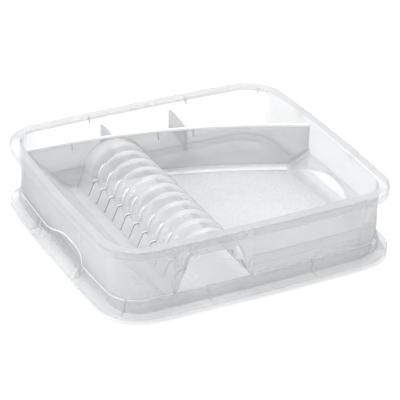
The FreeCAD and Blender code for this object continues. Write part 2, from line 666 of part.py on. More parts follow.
def wave(sketch, stations, run_out):
    """The section of ribs along the rack: tangent ridge and groove arcs and their parallel underside.

    Each station is ("ridge" or "groove", distance along the rack).  The first and the last
    are cut at their middle; a ridge there runs on straight for run_out.
    """
    rise = HALF_PITCH / (RIDGE_ROUND + S.groove_round)
    lean = math.asin(rise.number)
    down = -math.pi / 2
    up = math.pi / 2
    sizes = {"groove": (S.groove_round, GROOVE_BOTTOM + S.groove_round, S.groove_round + S.gauge),
             "ridge": (RIDGE_ROUND, S.rib_radius - RIDGE_ROUND, RIDGE_ROUND - S.gauge)}
    left_of = {"groove": 1, "ridge": 2}
    right_of = {"groove": 2, "ridge": 1}
    last = len(stations) - 1
    chains = []
    for layer in (0, 1):
        chain = []
        for index, (kind, place) in enumerate(stations):
            radius = sizes[kind][0] if layer == 0 else sizes[kind][2]
            back = 0 if index == 0 else lean
            ahead = 0 if index == last else lean
            start, end = (down - back, down + ahead) if kind == "groove" else (up - ahead, up + back)
            sketch.addGeometry(arc(place.number, sizes[kind][1].number, radius.number, start, end), False)
            number = sketch.GeometryCount - 1
            chain.append(number)
            if layer == 0:
                datum(sketch, "Radius", (number,), radius)
                if index == 0:
                    fix_point(sketch, number, 3, place, sizes[kind][1])
                elif abs(place.number) < 1e-9:
                    sketch.addConstraint(Sketcher.Constraint("PointOnObject", number, 3, -2))
                else:
                    datum(sketch, "DistanceX", (-1, 1, number, 3), place)
            else:
                if index == 0:
                    datum(sketch, "Radius", (number,), radius)
                sketch.addConstraint(Sketcher.Constraint("Coincident", number, 3, chains[0][index], 3))
        for index in range(last):
            here, there = stations[index][0], stations[index + 1][0]
            sketch.addConstraint(Sketcher.Constraint("Tangent", chain[index], right_of[here],
                                                     chain[index + 1], left_of[there]))
        sketch.addConstraint(Sketcher.Constraint("Vertical", chain[0], left_of[stations[0][0]], chain[0], 3))
        sketch.addConstraint(Sketcher.Constraint("Vertical", chain[last], right_of[stations[last][0]],
                                                 chain[last], 3))
        chains.append(chain)
    for index, pick, sign in ((0, left_of, -1), (last, right_of, 1)):
        kind, place = stations[index]
        ends = [(chain[index], pick[kind]) for chain in chains]
        if kind == "ridge":
            run_ends = []
            for (number, point), level in zip(ends, (S.rib_radius, S.rib_radius - S.gauge)):
                far = place + run_out * sign
                sketch.addGeometry(Part.LineSegment(FreeCAD.Vector(place.number, level.number, 0),
                                                    FreeCAD.Vector(far.number, level.number, 0)), False)
                line = sketch.GeometryCount - 1
                sketch.addConstraint(Sketcher.Constraint("Coincident", line, 1, number, point))
                sketch.addConstraint(Sketcher.Constraint("Horizontal", line))
                datum(sketch, "DistanceX", (-1, 1, line, 2), far)
                run_ends.append((line, 2))
            ends = run_ends
        points = [sketch.getPoint(number, point) for number, point in ends]
        sketch.addGeometry(Part.LineSegment(points[0], points[1]), False)
        cap = sketch.GeometryCount - 1
        sketch.addConstraint(Sketcher.Constraint("Coincident", cap, 1, *ends[0]))
        sketch.addConstraint(Sketcher.Constraint("Coincident", cap, 2, *ends[1]))
    return sketch


def arch(name, stations, at_y, run_out=None):
    """Half a turn of a rib section about the rack's axis."""
    body = new_body(name)
    section = wave(sketch_in(body, name + "_section", "YZ_Plane"), stations, run_out)
    turn = body.newObject("PartDesign::Revolution", name + "_arch")
    turn.Profile = section
    turn.ReferenceAxis = (section, ["H_Axis"])
    turn.Angle = 180
    turn.Midplane = True
    section.Visibility = False
    body.Placement = FreeCAD.Placement(FreeCAD.Vector(S.rack_middle.number, at_y.number, ARCH_LEVEL.number),
                                       FreeCAD.Rotation())
    bind(body, "Placement.Base.x", S.rack_middle)
    bind(body, "Placement.Base.y", at_y)
    bind(body, "Placement.Base.z", ARCH_LEVEL)
    return body


def build_ribs(front_room):
    """The whole ribs, and the half ribs that join the rack to the wall and to the partition."""
    none = as_size(0)
    ribs = []
    for number in range(int(S.rib_count.number)):
        at_y = FIRST_GROOVE_Y + S.rib_pitch * number
        stations = (("groove", none), ("ridge", HALF_PITCH), ("groove", S.rib_pitch))
        ribs.append(arch("rack_rib_%02d" % (number + 1), stations, at_y))
    front = arch("rack_end_front_blank", (("ridge", -HALF_PITCH), ("groove", none)), FIRST_GROOVE_Y,
                 run_out=S.rib_pitch)
    last_y = FIRST_GROOVE_Y + S.rib_pitch * S.rib_count
    back = arch("rack_end_back_blank", (("groove", none), ("ridge", HALF_PITCH)), last_y,
                run_out=S.rib_pitch * 2)
    return ribs + [common("rack_end_front", front, front_room), common("rack_end_back", back, front_room)]


# ---------------------------------------------------------------- the cutlery bay

BEAD_LEVEL = S.partition_top - S.gauge * 1.5


def partition_band(sketch, front_inset, back_inset):
    """The strip between two arcs parallel to the partition's face."""
    radius_x = as_size(FAR * 0.6)
    centre_x = S.partition_peak_x
    centre_y = S.partition_peak_y - S.partition_curve
    chains = []
    for inset in (front_inset, back_inset):
        radius = S.partition_curve + inset
        angles = []
        for x in (radius_x.number, -radius_x.number):
            aside = x - centre_x.number
            angles.append(math.atan2(math.sqrt(radius.number ** 2 - aside ** 2), aside))
        sketch.addGeometry(arc(centre_x.number, centre_y.number, radius.number, *angles), False)
        number = sketch.GeometryCount - 1
        datum(sketch, "Radius", (number,), radius)
        fix_point(sketch, number, 3, centre_x, centre_y)
        datum(sketch, "DistanceX", (-1, 1, number, 1), radius_x)
        datum(sketch, "DistanceX", (-1, 1, number, 2), -radius_x)
        chains.append(number)
    for point in (1, 2):
        here = sketch.getPoint(chains[0], point)
        there = sketch.getPoint(chains[1], point)
        sketch.addGeometry(Part.LineSegment(here, there), False)
        line = sketch.GeometryCount - 1
        sketch.addConstraint(Sketcher.Constraint("Coincident", line, 1, chains[0], point))
        sketch.addConstraint(Sketcher.Constraint("Coincident", line, 2, chains[1], point))
    return sketch


def partition_face_y(x):
    """y of the partition's front face at a given x."""
    aside = x - S.partition_peak_x
    return S.partition_peak_y - S.partition_curve + (S.partition_curve * S.partition_curve - aside * aside).root()


def build_partition(room):
    """The curved partition, the bead along its top and the short ribs on its front."""
    wall = new_body("cutlery_partition_blank")
    pad(wall, partition_band(sketch_in(wall, "partition_plan", lift=FLOOR_UNDER), as_size(0), S.gauge),
        BEAD_LEVEL - FLOOR_UNDER)
    bead = new_body("partition_bead_blank")
    pad(bead, partition_band(sketch_in(bead, "bead_plan", lift=BEAD_LEVEL), -TOE, S.gauge + TOE),
        S.partition_top - BEAD_LEVEL)
    short = new_body("partition_ribs")
    plan = sketch_in(short, "partition_ribs_plan", lift=BEAD_LEVEL - S.stop_rise * 4)
    half = S.gusset_gauge / 2
    for x in (S.rack_middle - S.rib_radius * 1.4, S.rack_middle + S.rib_radius * 1.4,
              S.rack_middle + S.rib_radius * 2.5):
        face = partition_face_y(x)
        rectangle(plan, x - half, x + half, face - S.stop_rise, face + S.gauge)
    pad(short, plan, S.stop_rise * 4)
    keep_before_partition(short)
    return [common("cutlery_partition", wall, room), common("partition_bead", bead, room), short]


def tangent_of(degrees):
    number = math.tan(math.radians(degrees.number))
    return Size(number, "tan(%s * 1deg)" % degrees.text)


def cosine_of(degrees):
    number = math.cos(math.radians(degrees.number))
    return Size(number, "cos(%s * 1deg)" % degrees.text)


def build_divider(name, at_x, at_y, tilt, bay):
    """A divider: an upright web whose foot spreads into two rounded pocket sides."""
    body = new_body(name + "_blank")
    sketch = sketch_in(body, name + "_section", "XZ_Plane")
    half = S.divider_gauge / 2
    bend = S.pocket_round
    arc_level = S.pocket_level + bend
    reach = half + bend
    top = BEAD_LEVEL
    under = bend + S.gauge
    apex = arc_level - (under * under - reach * reach).root()
    turn = math.pi
    dip = math.atan2(apex.number - arc_level.number, -reach.number) + 2 * turn
    rise = math.atan2(apex.number - arc_level.number, reach.number)

    def line(x1, z1, x2, z2):
        sketch.addGeometry(Part.LineSegment(FreeCAD.Vector(x1, z1, 0), FreeCAD.Vector(x2, z2, 0)), False)
        return sketch.GeometryCount - 1

    def curve(side, radius, start, end):
        sketch.addGeometry(arc(side * reach.number, arc_level.number, radius.number, start, end), False)
        number = sketch.GeometryCount - 1
        datum(sketch, "Radius", (number,), radius)
        fix_point(sketch, number, 3, reach * side, arc_level)
        return number

    crest = line(-half.number, top.number, half.number, top.number)
    web_right = line(half.number, top.number, half.number, arc_level.number)
    web_left = line(-half.number, arc_level.number, -half.number, top.number)
    right = curve(1, bend, turn, 1.5 * turn)
    left = curve(-1, bend, 1.5 * turn, 2 * turn)
    right_under = curve(1, under, dip, 1.5 * turn)
    left_under = curve(-1, under, 1.5 * turn, 2 * turn + rise)
    right_end = line(reach.number, S.pocket_level.number, reach.number, POCKET_UNDER.number)
    left_end = line(-reach.number, POCKET_UNDER.number, -reach.number, S.pocket_level.number)
    for first, point, second, other in (
            (crest, 2, web_right, 1), (web_left, 2, crest, 1),
            (right, 2, right_end, 1), (left, 1, left_end, 2), (right_under, 2, right_end, 2),
            (left_under, 1, left_end, 1), (right_under, 1, left_under, 2),
            (web_right, 2, right, 1), (web_left, 1, left, 2)):
        sketch.addConstraint(Sketcher.Constraint("Coincident", first, point, second, other))
    for number in (right_end, left_end):
        sketch.addConstraint(Sketcher.Constraint("Vertical", number))
    fix_point(sketch, crest, 1, -half, top)
    fix_point(sketch, crest, 2, half, top)
    for number, centre in ((right, 1), (left, 2)):
        sketch.addConstraint(Sketcher.Constraint("Horizontal", number, centre, number, 3))
    for number, outer_end in ((right, 2), (left, 1)):
        sketch.addConstraint(Sketcher.Constraint("Vertical", number, outer_end, number, 3))
    pad(body, sketch, S.rim_depth / 2, both_ways=True)
    body.Placement = FreeCAD.Placement(FreeCAD.Vector(at_x.number, at_y.number, 0),
                                       FreeCAD.Rotation(FreeCAD.Vector(0, 0, 1), -tilt.number))
    bind(body, "Placement.Base.x", at_x)
    bind(body, "Placement.Base.y", at_y)
    bind(body, "Placement.Rotation.Angle", -tilt)
    return common(name, body, bay)


def build_cutlery_bay(bay):
    """Two dividers and the three floors between their spread feet."""
    first = (S.divider_one_x, S.divider_one_y, S.divider_one_tilt)
    second = (S.divider_two_x, S.divider_two_y, S.divider_two_tilt)
    pieces = [build_divider("divider_left", *first, bay), build_divider("divider_right", *second, bay)]
    reach = S.divider_gauge / 2 + S.pocket_round
    near_y = as_size(0)
    far_y = S.rim_depth / 2

    def foot_line(divider, side):
        at_x, at_y, tilt = divider
        aside = reach / cosine_of(tilt) * side
        return [at_x + aside + (y - at_y) * tangent_of(tilt) for y in (near_y, far_y)]

    west = [-S.rim_length / 2, -S.rim_length / 2]
    east = [S.rim_length / 2, S.rim_length / 2]
    floors = (("cutlery_floor_left", west, foot_line(first, -1)),
              ("cutlery_floor_middle", foot_line(first, 1), foot_line(second, -1)),
              ("cutlery_floor_right", foot_line(second, 1), east))
    for name, left, right in floors:
        body = new_body(name + "_blank")
        plan = sketch_in(body, name + "_plan", lift=POCKET_UNDER)
        polygon(plan, ((left[0], near_y), (right[0], near_y), (right[1], far_y), (left[1], far_y)))
        pad(body, plan, S.gauge)
        pieces.append(common(name, body, bay))
    return pieces


# ---------------------------------------------------------------- put together

front_room, cutlery_bay = build_rooms()
inside = new_body("inside_wall")
pad(inside, rim_outline(sketch_in(inside, "inside_wall_plan"), WALL_INNER), S.rim_top)
rack_block = build_rack_block()

nodes = build_tray()
nodes += [build_rim(), build_wall()]
nodes += build_basin(front_room, rack_block)
nodes += build_trough(front_room)
nodes += build_flanks(front_room)
nodes += build_ribs(front_room)
nodes += build_partition(inside)
nodes += build_cutlery_bay(cutlery_bay)
nodes.append(stiffening_ribs(
    "rim_ribs", rim_outline, S.rim_length / 2, S.rim_depth / 2, S.rim_corner,
    S.rim_top - S.lip_drop, S.rim_top - S.gauge, WALL_OUTER, S.gauge,
    (("rim", WALL_OUTER, S.foot_level, S.rim_top),)))
doc.recompute()

for thing in doc.Objects:
    faults = [state for state in thing.State if state in ("Invalid", "Error")]
    if faults:
        raise RuntimeError("%s is %s" % (thing.Label, faults))

os.makedirs("parts", exist_ok=True)
for node in nodes:
    shape = node.Shape
    if shape.isNull() or not shape.isValid() or shape.Volume <= 0:
        raise RuntimeError("%s has no valid solid" % node.Label)
    shape.exportStep(os.path.join("parts", node.Label + ".step"))
    print("%-22s solids %d  volume %10.1f  box %s" % (
        node.Label, len(shape.Solids), shape.Volume,
        " ".join("%.1f" % value for value in (
            shape.BoundBox.XMin, shape.BoundBox.XMax, shape.BoundBox.YMin,
            shape.BoundBox.YMax, shape.BoundBox.ZMin, shape.BoundBox.ZMax))))
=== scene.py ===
"""Dish drying rack: two clear mouldings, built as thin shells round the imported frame.

The drainer basket and the drip tray are each made of sheets of one gauge.  A sheet is
laid out as a grid of points on its visible face and then thickened away from it.
"""

import logging
import math
from dataclasses import dataclass
from enum import Enum
from functools import lru_cache
from typing import Callable, List, Optional, Sequence, Tuple

import bmesh
import bpy
from mathutils import Matrix, Vector, noise


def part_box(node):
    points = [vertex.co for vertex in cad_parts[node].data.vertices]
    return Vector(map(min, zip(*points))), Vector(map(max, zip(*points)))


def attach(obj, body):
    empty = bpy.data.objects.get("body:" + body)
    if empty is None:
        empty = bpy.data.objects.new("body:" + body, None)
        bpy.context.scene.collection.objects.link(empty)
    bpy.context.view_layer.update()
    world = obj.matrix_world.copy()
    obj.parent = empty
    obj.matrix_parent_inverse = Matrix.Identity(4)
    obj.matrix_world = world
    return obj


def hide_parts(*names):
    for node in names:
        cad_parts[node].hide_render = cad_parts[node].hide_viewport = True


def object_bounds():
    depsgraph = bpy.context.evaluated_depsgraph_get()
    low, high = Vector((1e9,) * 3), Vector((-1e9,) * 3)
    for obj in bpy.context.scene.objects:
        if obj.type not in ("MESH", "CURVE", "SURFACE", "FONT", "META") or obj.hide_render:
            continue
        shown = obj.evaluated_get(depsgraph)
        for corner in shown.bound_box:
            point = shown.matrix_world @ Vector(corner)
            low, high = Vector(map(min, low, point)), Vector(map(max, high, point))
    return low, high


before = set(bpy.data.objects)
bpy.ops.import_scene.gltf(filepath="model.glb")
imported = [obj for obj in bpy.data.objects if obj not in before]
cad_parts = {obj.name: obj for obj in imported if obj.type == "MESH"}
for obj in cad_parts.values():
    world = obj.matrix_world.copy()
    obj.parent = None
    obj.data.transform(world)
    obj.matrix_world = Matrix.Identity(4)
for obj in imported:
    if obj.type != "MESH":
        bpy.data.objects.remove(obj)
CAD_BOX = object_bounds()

LOG = logging.getLogger("dish_rack")
MM = 0.001
SAME_POINT = 0.02 * MM
BEVELLED_ABOVE = 55.0
CREASED_ABOVE = 42.0
NEVER = 1e9
Point = Tuple[float, float]


class Body(Enum):
    """The two bodies that come apart."""

    TRAY = "tray"
    BASKET = "drainer"


class Slot(Enum):
    """The record's material slots."""

    TRAY = "tray_clear"
    BASKET = "basket_clear"


# ------------------------------------------------------------------ finishes


@dataclass(frozen=True)
class ClearPlastic:
    """Clear moulded polypropylene: thin, hazy and glossy, denser where seen edge on, and painted darker
    there as shade standing in for the dark surroundings it refracts.

    The haze is the share of the light that the sheet stops, glow is the share of the haze that lets light
    through from behind, and edge_shade is how much of the tint the painted edge shade leaves edge on.
    """

    name: str
    tint: Tuple[float, float, float]
    haze_face_on: float
    haze_edge_on: float
    roughness: float
    glow: float = 0.5
    edge_shade: float = 0.5
    cloud_size: float = 60 * MM
    cloudiness: float = 0.12
    ripple_size: float = 9 * MM
    ripple_depth: float = 0.05

    @lru_cache(maxsize=None)
    def material(self) -> bpy.types.Material:
        """Builds the node material, once for each finish.

        Returns:
            The finished material.
        """
        made = bpy.data.materials.new(self.name)
        made.use_nodes = True
        nodes, links = made.node_tree.nodes, made.node_tree.links
        nodes.clear()
        out = nodes.new("ShaderNodeOutputMaterial")
        mix = nodes.new("ShaderNodeMixShader")
        clear = nodes.new("ShaderNodeBsdfTransparent")
        skin = nodes.new("ShaderNodeBsdfPrincipled")
        links.new(mix.outputs["Shader"], out.inputs["Surface"])
        through = nodes.new("ShaderNodeBsdfTranslucent")
        cloudy = nodes.new("ShaderNodeMixShader")
        # painted edge shade: the skin's and the translucent part's colour darken edge on
        self._paint_edge_shade(nodes, links, (skin.inputs["Base Color"], through.inputs["Color"]))
        cloudy.inputs["Fac"].default_value = self.glow
        links.new(skin.outputs["BSDF"], cloudy.inputs[1])
        links.new(through.outputs["BSDF"], cloudy.inputs[2])
        links.new(clear.outputs["BSDF"], mix.inputs[1])
        links.new(cloudy.outputs["Shader"], mix.inputs[2])
        clear.inputs["Color"].default_value = (*(0.6 + 0.4 * c for c in self.tint), 1.0)
        skin.inputs["IOR"].default_value = 1.49
        skin.inputs["Specular IOR Level"].default_value = 0.9
        skin.inputs["Coat Weight"].default_value = 0.6
        skin.inputs["Coat Roughness"].default_value = 0.04
        self._haze(nodes, links, mix)
        self._surface(nodes, links, skin)
        return made

    def _paint_edge_shade(self, nodes: bpy.types.Nodes, links: bpy.types.NodeLinks,
                   colours: Sequence[bpy.types.NodeSocket]) -> None:
        """Paints shade into the plastic's colour where it is seen almost edge on, standing in for the dark
        surroundings refracted there.

        Args:
            nodes: the material's nodes.
            links: the material's links.
            colours: the colour sockets that take it.
        """
        facing = nodes.new("ShaderNodeLayerWeight")
        facing.inputs["Blend"].default_value = 0.5
        shade = nodes.new("ShaderNodeValToRGB")
        face_on, edge_on = shade.color_ramp.elements
        face_on.position, face_on.color = 0.55, (*self.tint, 1.0)
        edge_on.position, edge_on.color = 0.97, (*(self.edge_shade * c for c in self.tint), 1.0)
        links.new(facing.outputs["Facing"], shade.inputs["Fac"])
        for colour in colours:
            links.new(shade.outputs["Color"], colour)

    def _haze(self, nodes: bpy.types.Nodes, links: bpy.types.NodeLinks, mix: bpy.types.Node) -> None:
        """Makes the sheet cloudier towards its edges and in slow patches.

        Args:
            nodes: the material's nodes.
            links: the material's links.
            mix: the shader mix that the haze drives.
        """
        facing = nodes.new("ShaderNodeLayerWeight")
        facing.inputs["Blend"].default_value = 0.3
        spread = nodes.new("ShaderNodeMapRange")
        spread.inputs["To Min"].default_value = self.haze_face_on
        spread.inputs["To Max"].default_value = self.haze_edge_on
        place = nodes.new("ShaderNodeTexCoord")
        cloud = nodes.new("ShaderNodeTexNoise")
        cloud.inputs["Scale"].default_value = 1 / self.cloud_size
        cloud.inputs["Detail"].default_value = 3.0
        patch = nodes.new("ShaderNodeMapRange")
        patch.inputs["To Min"].default_value = 1 - self.cloudiness
        patch.inputs["To Max"].default_value = 1 + self.cloudiness
        product = nodes.new("ShaderNodeMath")
        product.operation = "MULTIPLY"
        product.use_clamp = True
        links.new(facing.outputs["Facing"], spread.inputs["Value"])
        links.new(place.outputs["Object"], cloud.inputs["Vector"])
        links.new(cloud.outputs["Fac"], patch.inputs["Value"])
        links.new(spread.outputs["Result"], product.inputs[0])
        links.new(patch.outputs["Result"], product.inputs[1])
        links.new(product.outputs["Value"], mix.inputs["Fac"])

    def _surface(self, nodes: bpy.types.Nodes, links: bpy.types.NodeLinks, skin: bpy.types.Node) -> None:
        """Adds the mould's slight unevenness to gloss and normal.

        Args:
            nodes: the material's nodes.
            links: the material's links.
            skin: the shader that takes them.
        """
        place = nodes.new("ShaderNodeTexCoord")
        grain = nodes.new("ShaderNodeTexNoise")
        grain.inputs["Scale"].default_value = 1 / self.ripple_size
        grain.inputs["Detail"].default_value = 2.0
        gloss = nodes.new("ShaderNodeMapRange")
        gloss.inputs["To Min"].default_value = self.roughness * 0.8
        gloss.inputs["To Max"].default_value = self.roughness * 1.25
        bump = nodes.new("ShaderNodeBump")
        bump.inputs["Strength"].default_value = self.ripple_depth
        bump.inputs["Distance"].default_value = 1 * MM
        links.new(place.outputs["Object"], grain.inputs["Vector"])
        links.new(grain.outputs["Fac"], gloss.inputs["Value"])
        links.new(gloss.outputs["Result"], skin.inputs["Roughness"])
        links.new(grain.outputs["Fac"], bump.inputs["Height"])
        links.new(bump.outputs["Normal"], skin.inputs["Normal"])


TRAY_CLEAR = ClearPlastic(
    "tray_clear_plastic", tint=(0.85, 0.855, 0.86), haze_face_on=0.10, haze_edge_on=0.68,
    roughness=0.14, glow=0.5, edge_shade=0.4)
BASKET_CLEAR = ClearPlastic(
    "basket_clear_plastic", tint=(0.80, 0.805, 0.81), haze_face_on=0.17, haze_edge_on=0.78,
    roughness=0.11)
BASIN_FROSTED = ClearPlastic(
    "basin_frosted_plastic", tint=(0.88, 0.885, 0.89), haze_face_on=0.32, haze_edge_on=0.8,
    roughness=0.16, glow=0.55, edge_shade=0.6)
# Painted light: the rack is the walls' plastic with a lighter tint, so the ribs show brighter as if more
# brightly lit.
RACK_PAINTED_LIGHT = ClearPlastic(
    "rack_painted_light_plastic", tint=(0.90, 0.905, 0.91), haze_face_on=0.2, haze_edge_on=0.85,
    roughness=0.09, glow=0.5, edge_shade=0.4)
TROUGH_CLEAR = ClearPlastic(
    "trough_clear_plastic", tint=(0.88, 0.885, 0.89), haze_face_on=0.26, haze_edge_on=0.7,
    roughness=0.14, glow=0.55, edge_shade=0.9)
# Painted reflection: the partition's face is given a darker tint than the walls for the dark surroundings it
# reflects.
PARTITION_PAINTED_REFLECTION = ClearPlastic(
    "partition_painted_reflection_plastic", tint=(0.74, 0.745, 0.75), haze_face_on=0.3, haze_edge_on=0.8,
    roughness=0.14, glow=0.4)
POCKET_CLEAR = ClearPlastic(
    "pocket_clear_plastic", tint=(0.9, 0.9, 0.905), haze_face_on=0.06, haze_edge_on=0.4,
    roughness=0.12, glow=0.5, edge_shade=0.85)
# Painted shade: a near-black finish for the slots' cut edges and the grooves' dark sides, where only shade
# and the dark inside show.
SLOT_PAINTED_SHADE = ClearPlastic(
    "slot_painted_shade_plastic", tint=(0.2, 0.2, 0.205), haze_face_on=0.75, haze_edge_on=0.9,
    roughness=0.2, glow=0.1, edge_shade=1.0)
# Painted highlight: a near-white finish for the partition's bead, the thin strips along the wall's foot and
# the partition's foot, and bright lines on the grooves' feet.
PAINTED_HIGHLIGHT = ClearPlastic(
    "painted_highlight_plastic", tint=(0.97, 0.97, 0.97), haze_face_on=0.85, haze_edge_on=0.95,
    roughness=0.08, glow=0.2, edge_shade=0.8)


@dataclass(frozen=True)
class PaleFloor:
    """The plain surface that the rack stands on."""

    name: str = "pale_floor"
    colour: Tuple[float, float, float] = (0.96, 0.96, 0.96)

    def material(self) -> bpy.types.Material:
        """Returns the floor's plain matt material."""
        made = bpy.data.materials.new(self.name)
        made.use_nodes = True
        skin = made.node_tree.nodes["Principled BSDF"]
        skin.inputs["Base Color"].default_value = (*self.colour, 1.0)
        skin.inputs["Roughness"].default_value = 0.9
        skin.inputs["Specular IOR Level"].default_value = 0.0
        return made


# ------------------------------------------------------------------ sheets


@dataclass(frozen=True)
class Span:
    """The box of one node of the frame, in metres."""

    low: Vector
    high: Vector

    @classmethod
    @lru_cache(maxsize=None)
    def of(cls, node: str) -> "Span":
        """Returns the box of a node at rest."""
        low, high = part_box(node)
        return cls(Vector(low), Vector(high))

    @property
    def half_x(self) -> float:
        """Half of the width in X."""
        return (self.high.x - self.low.x) / 2

    @property
    def half_y(self) -> float:
        """Half of the depth in Y."""
        return (self.high.y - self.low.y) / 2


RIGHT_ARC, LEFT_ARC, FRONT_ARC = 0, 4, 6


@dataclass(frozen=True)
class Outline:
    """A rounded rectangle with four bowed sides, centred on the origin."""

    half_x: float
    half_y: float
    corner: float
    side_bow: float = 2800 * MM
    end_bow: float = 5200 * MM

    @lru_cache(maxsize=None)
    def corner_centre(self) -> Point:
        """Finds the centre of the front-right corner's arc, mirrored into the first quadrant.

        Returns:
            Its x and y.
        """
        across, down = self.side_bow - self.half_x, self.end_bow - self.half_y
        to_side, to_end = self.side_bow - self.corner, self.end_bow - self.corner
        gap = math.hypot(across, down)
        along = (to_side ** 2 - to_end ** 2 + gap ** 2) / (2 * gap)
        aside = math.sqrt(to_side ** 2 - along ** 2)
        ux, uy = across / gap, -down / gap
        return max((-across + ux * along - turn * uy * aside, uy * along + turn * ux * aside)
                   for turn in (1, -1))

    def arcs(self) -> List[Tuple[float, float, float, float, float]]:
        """Lists the outline's arcs, anticlockwise from the right side.

        Returns:
            Centre x, centre y, radius, start angle and end angle of each.
        """
        across, down = self.side_bow - self.half_x, self.end_bow - self.half_y
        cx, cy = self.corner_centre()
        side = math.atan2(cy, cx + across)
        end = math.atan2(cy + down, cx)
        turn = math.pi
        return [
            (-across, 0, self.side_bow, -side, side),
            (cx, cy, self.corner, side, end),
            (0, -down, self.end_bow, end, turn - end),
            (-cx, cy, self.corner, turn - end, turn - side),
            (across, 0, self.side_bow, turn - side, turn + side),
            (-cx, -cy, self.corner, turn + side, turn + end),
            (0, down, self.end_bow, turn + end, 2 * turn - end),
            (cx, -cy, self.corner, 2 * turn - end, 2 * turn - side),
        ]

    def stations(self, spacing: float, extra: Sequence[Tuple[int, float]] = ()) -> List[Tuple[Point, Point]]:
        """Walks round the outline.

        Args:
            spacing: about how far apart the stations are.
            extra: more stations, each an arc's number and the x or y that it lies at.

        Returns:
            Each station's place and its inward direction.
        """
        found = []
        for number, (cx, cy, radius, start, end) in enumerate(self.arcs()):
            count = max(8, math.ceil(radius * (end - start) / spacing))
            angles = [start + (end - start) * step / count for step in range(count)]
            for arc, place in extra:
                if arc == number:
                    upright = number in (RIGHT_ARC, LEFT_ARC)
                    angle = math.asin((place - cy) / radius) if upright else math.acos((place - cx) / radius)
                    if number == LEFT_ARC:
                        angle = math.pi - angle
                    if number == FRONT_ARC:
                        angle = 2 * math.pi - angle
                    angles.append(angle)
            for angle in sorted(angles):
                nx, ny = -math.cos(angle), -math.sin(angle)
                found.append(((cx - radius * nx, cy - radius * ny), (nx, ny)))
        return found

    def reach_y(self, x: float, inset: float) -> float:
        """How far the inset outline reaches from the X axis.

        Args:
            x: where along the long side.
            inset: how far inside the outline.

        Returns:
            The distance in Y, 0 beyond the side.
        """
        cx, cy = self.corner_centre()
        if abs(x) <= cx:
            return math.sqrt((self.end_bow - inset) ** 2 - x * x) - (self.end_bow - self.half_y)
        aside = min(abs(x) - cx, self.corner - inset)
        return cy + math.sqrt((self.corner - inset) ** 2 - aside * aside)

    def reach_x(self, y: float, inset: float) -> float:
        """How far the inset outline reaches from the Y axis.

        Args:
            y: where along the short side.
            inset: how far inside the outline.

        Returns:
            The distance in X.
        """
        cx, cy = self.corner_centre()
        if abs(y) <= cy:
            return math.sqrt((self.side_bow - inset) ** 2 - y * y) - (self.side_bow - self.half_x)
        aside = min(abs(y) - cy, self.corner - inset)
        return cx + math.sqrt((self.corner - inset) ** 2 - aside * aside)


def bend(corner: Point, before: Point, after: Point, radius: float, steps: int = 5) -> List[Point]:
    """Rounds one corner of a section.

    Args:
        corner: the sharp corner.
        before: the point that the section comes from.
        after: the point that it goes to.
        radius: the rounding.
        steps: how many pieces the arc has.

    Returns:
        The points of the arc.
    """
    here = Vector(corner)
    back = (Vector(before) - here).normalized()
    ahead = (Vector(after) - here).normalized()
    half = back.angle(ahead) / 2
    if radius <= 0 or abs(half - math.pi / 2) < 1e-4:
        return [corner]
    reach = radius / math.tan(half)
    centre = here + (back + ahead).normalized() * (radius / math.sin(half))
    start, end = here + back * reach - centre, here + ahead * reach - centre
    turn = math.atan2(start.x * end.y - start.y * end.x, start.dot(end))
    points = []
    for step in range(steps + 1):
        point = centre + Matrix.Rotation(turn * step / steps, 2) @ start
        points.append((point.x, point.y))
    return points


def rounded(corners: Sequence[Tuple[float, float, float]]) -> List[Point]:
    """Turns a section given as corners with roundings into points.

    Args:
        corners: each corner's two coordinates and its rounding.

    Returns:
        The section's points, its two ends as given.
    """
    places = [(a, b) for a, b, _ in corners]
    points = [places[0]]
    for index in range(1, len(corners) - 1):
        points += bend(places[index], places[index - 1], places[index + 1], corners[index][2])
    points.append(places[-1])
    return points


def split_long(points: Sequence[Point], longest: float) -> List[Point]:
    """Adds points to a section so that no piece is longer than a limit.

    Args:
        points: the section.
        longest: the limit.

    Returns:
        The section with more points.
    """
    result = [points[0]]
    for (x0, y0), (x1, y1) in zip(points, points[1:]):
        count = max(1, math.ceil(math.hypot(x1 - x0, y1 - y0) / longest))
        result += [(x0 + (x1 - x0) * k / count, y0 + (y1 - y0) * k / count) for k in range(1, count + 1)]
    return result


def ramp(distance: float, blend: float) -> float:
    """A slope of 1 that starts at 0 with a rounded foot.

    Args:
        distance: how far past the foot.
        blend: half of the rounded stretch.

    Returns:
        The rise.
    """
    if distance <= -blend:
        return 0.0
    if distance >= blend:
        return distance
    return (distance + blend) ** 2 / (4 * blend)


def foot(distance: float, radius: float) -> float:
    """The rise of a quarter-round foot at a distance from an upright face.

    Args:
        distance: how far from the face.
        radius: the foot's radius.

    Returns:
        The rise, at most the radius.
    """
    inside = min(max(distance, 0.0), radius)
    return radius - math.sqrt(radius ** 2 - (radius - inside) ** 2)


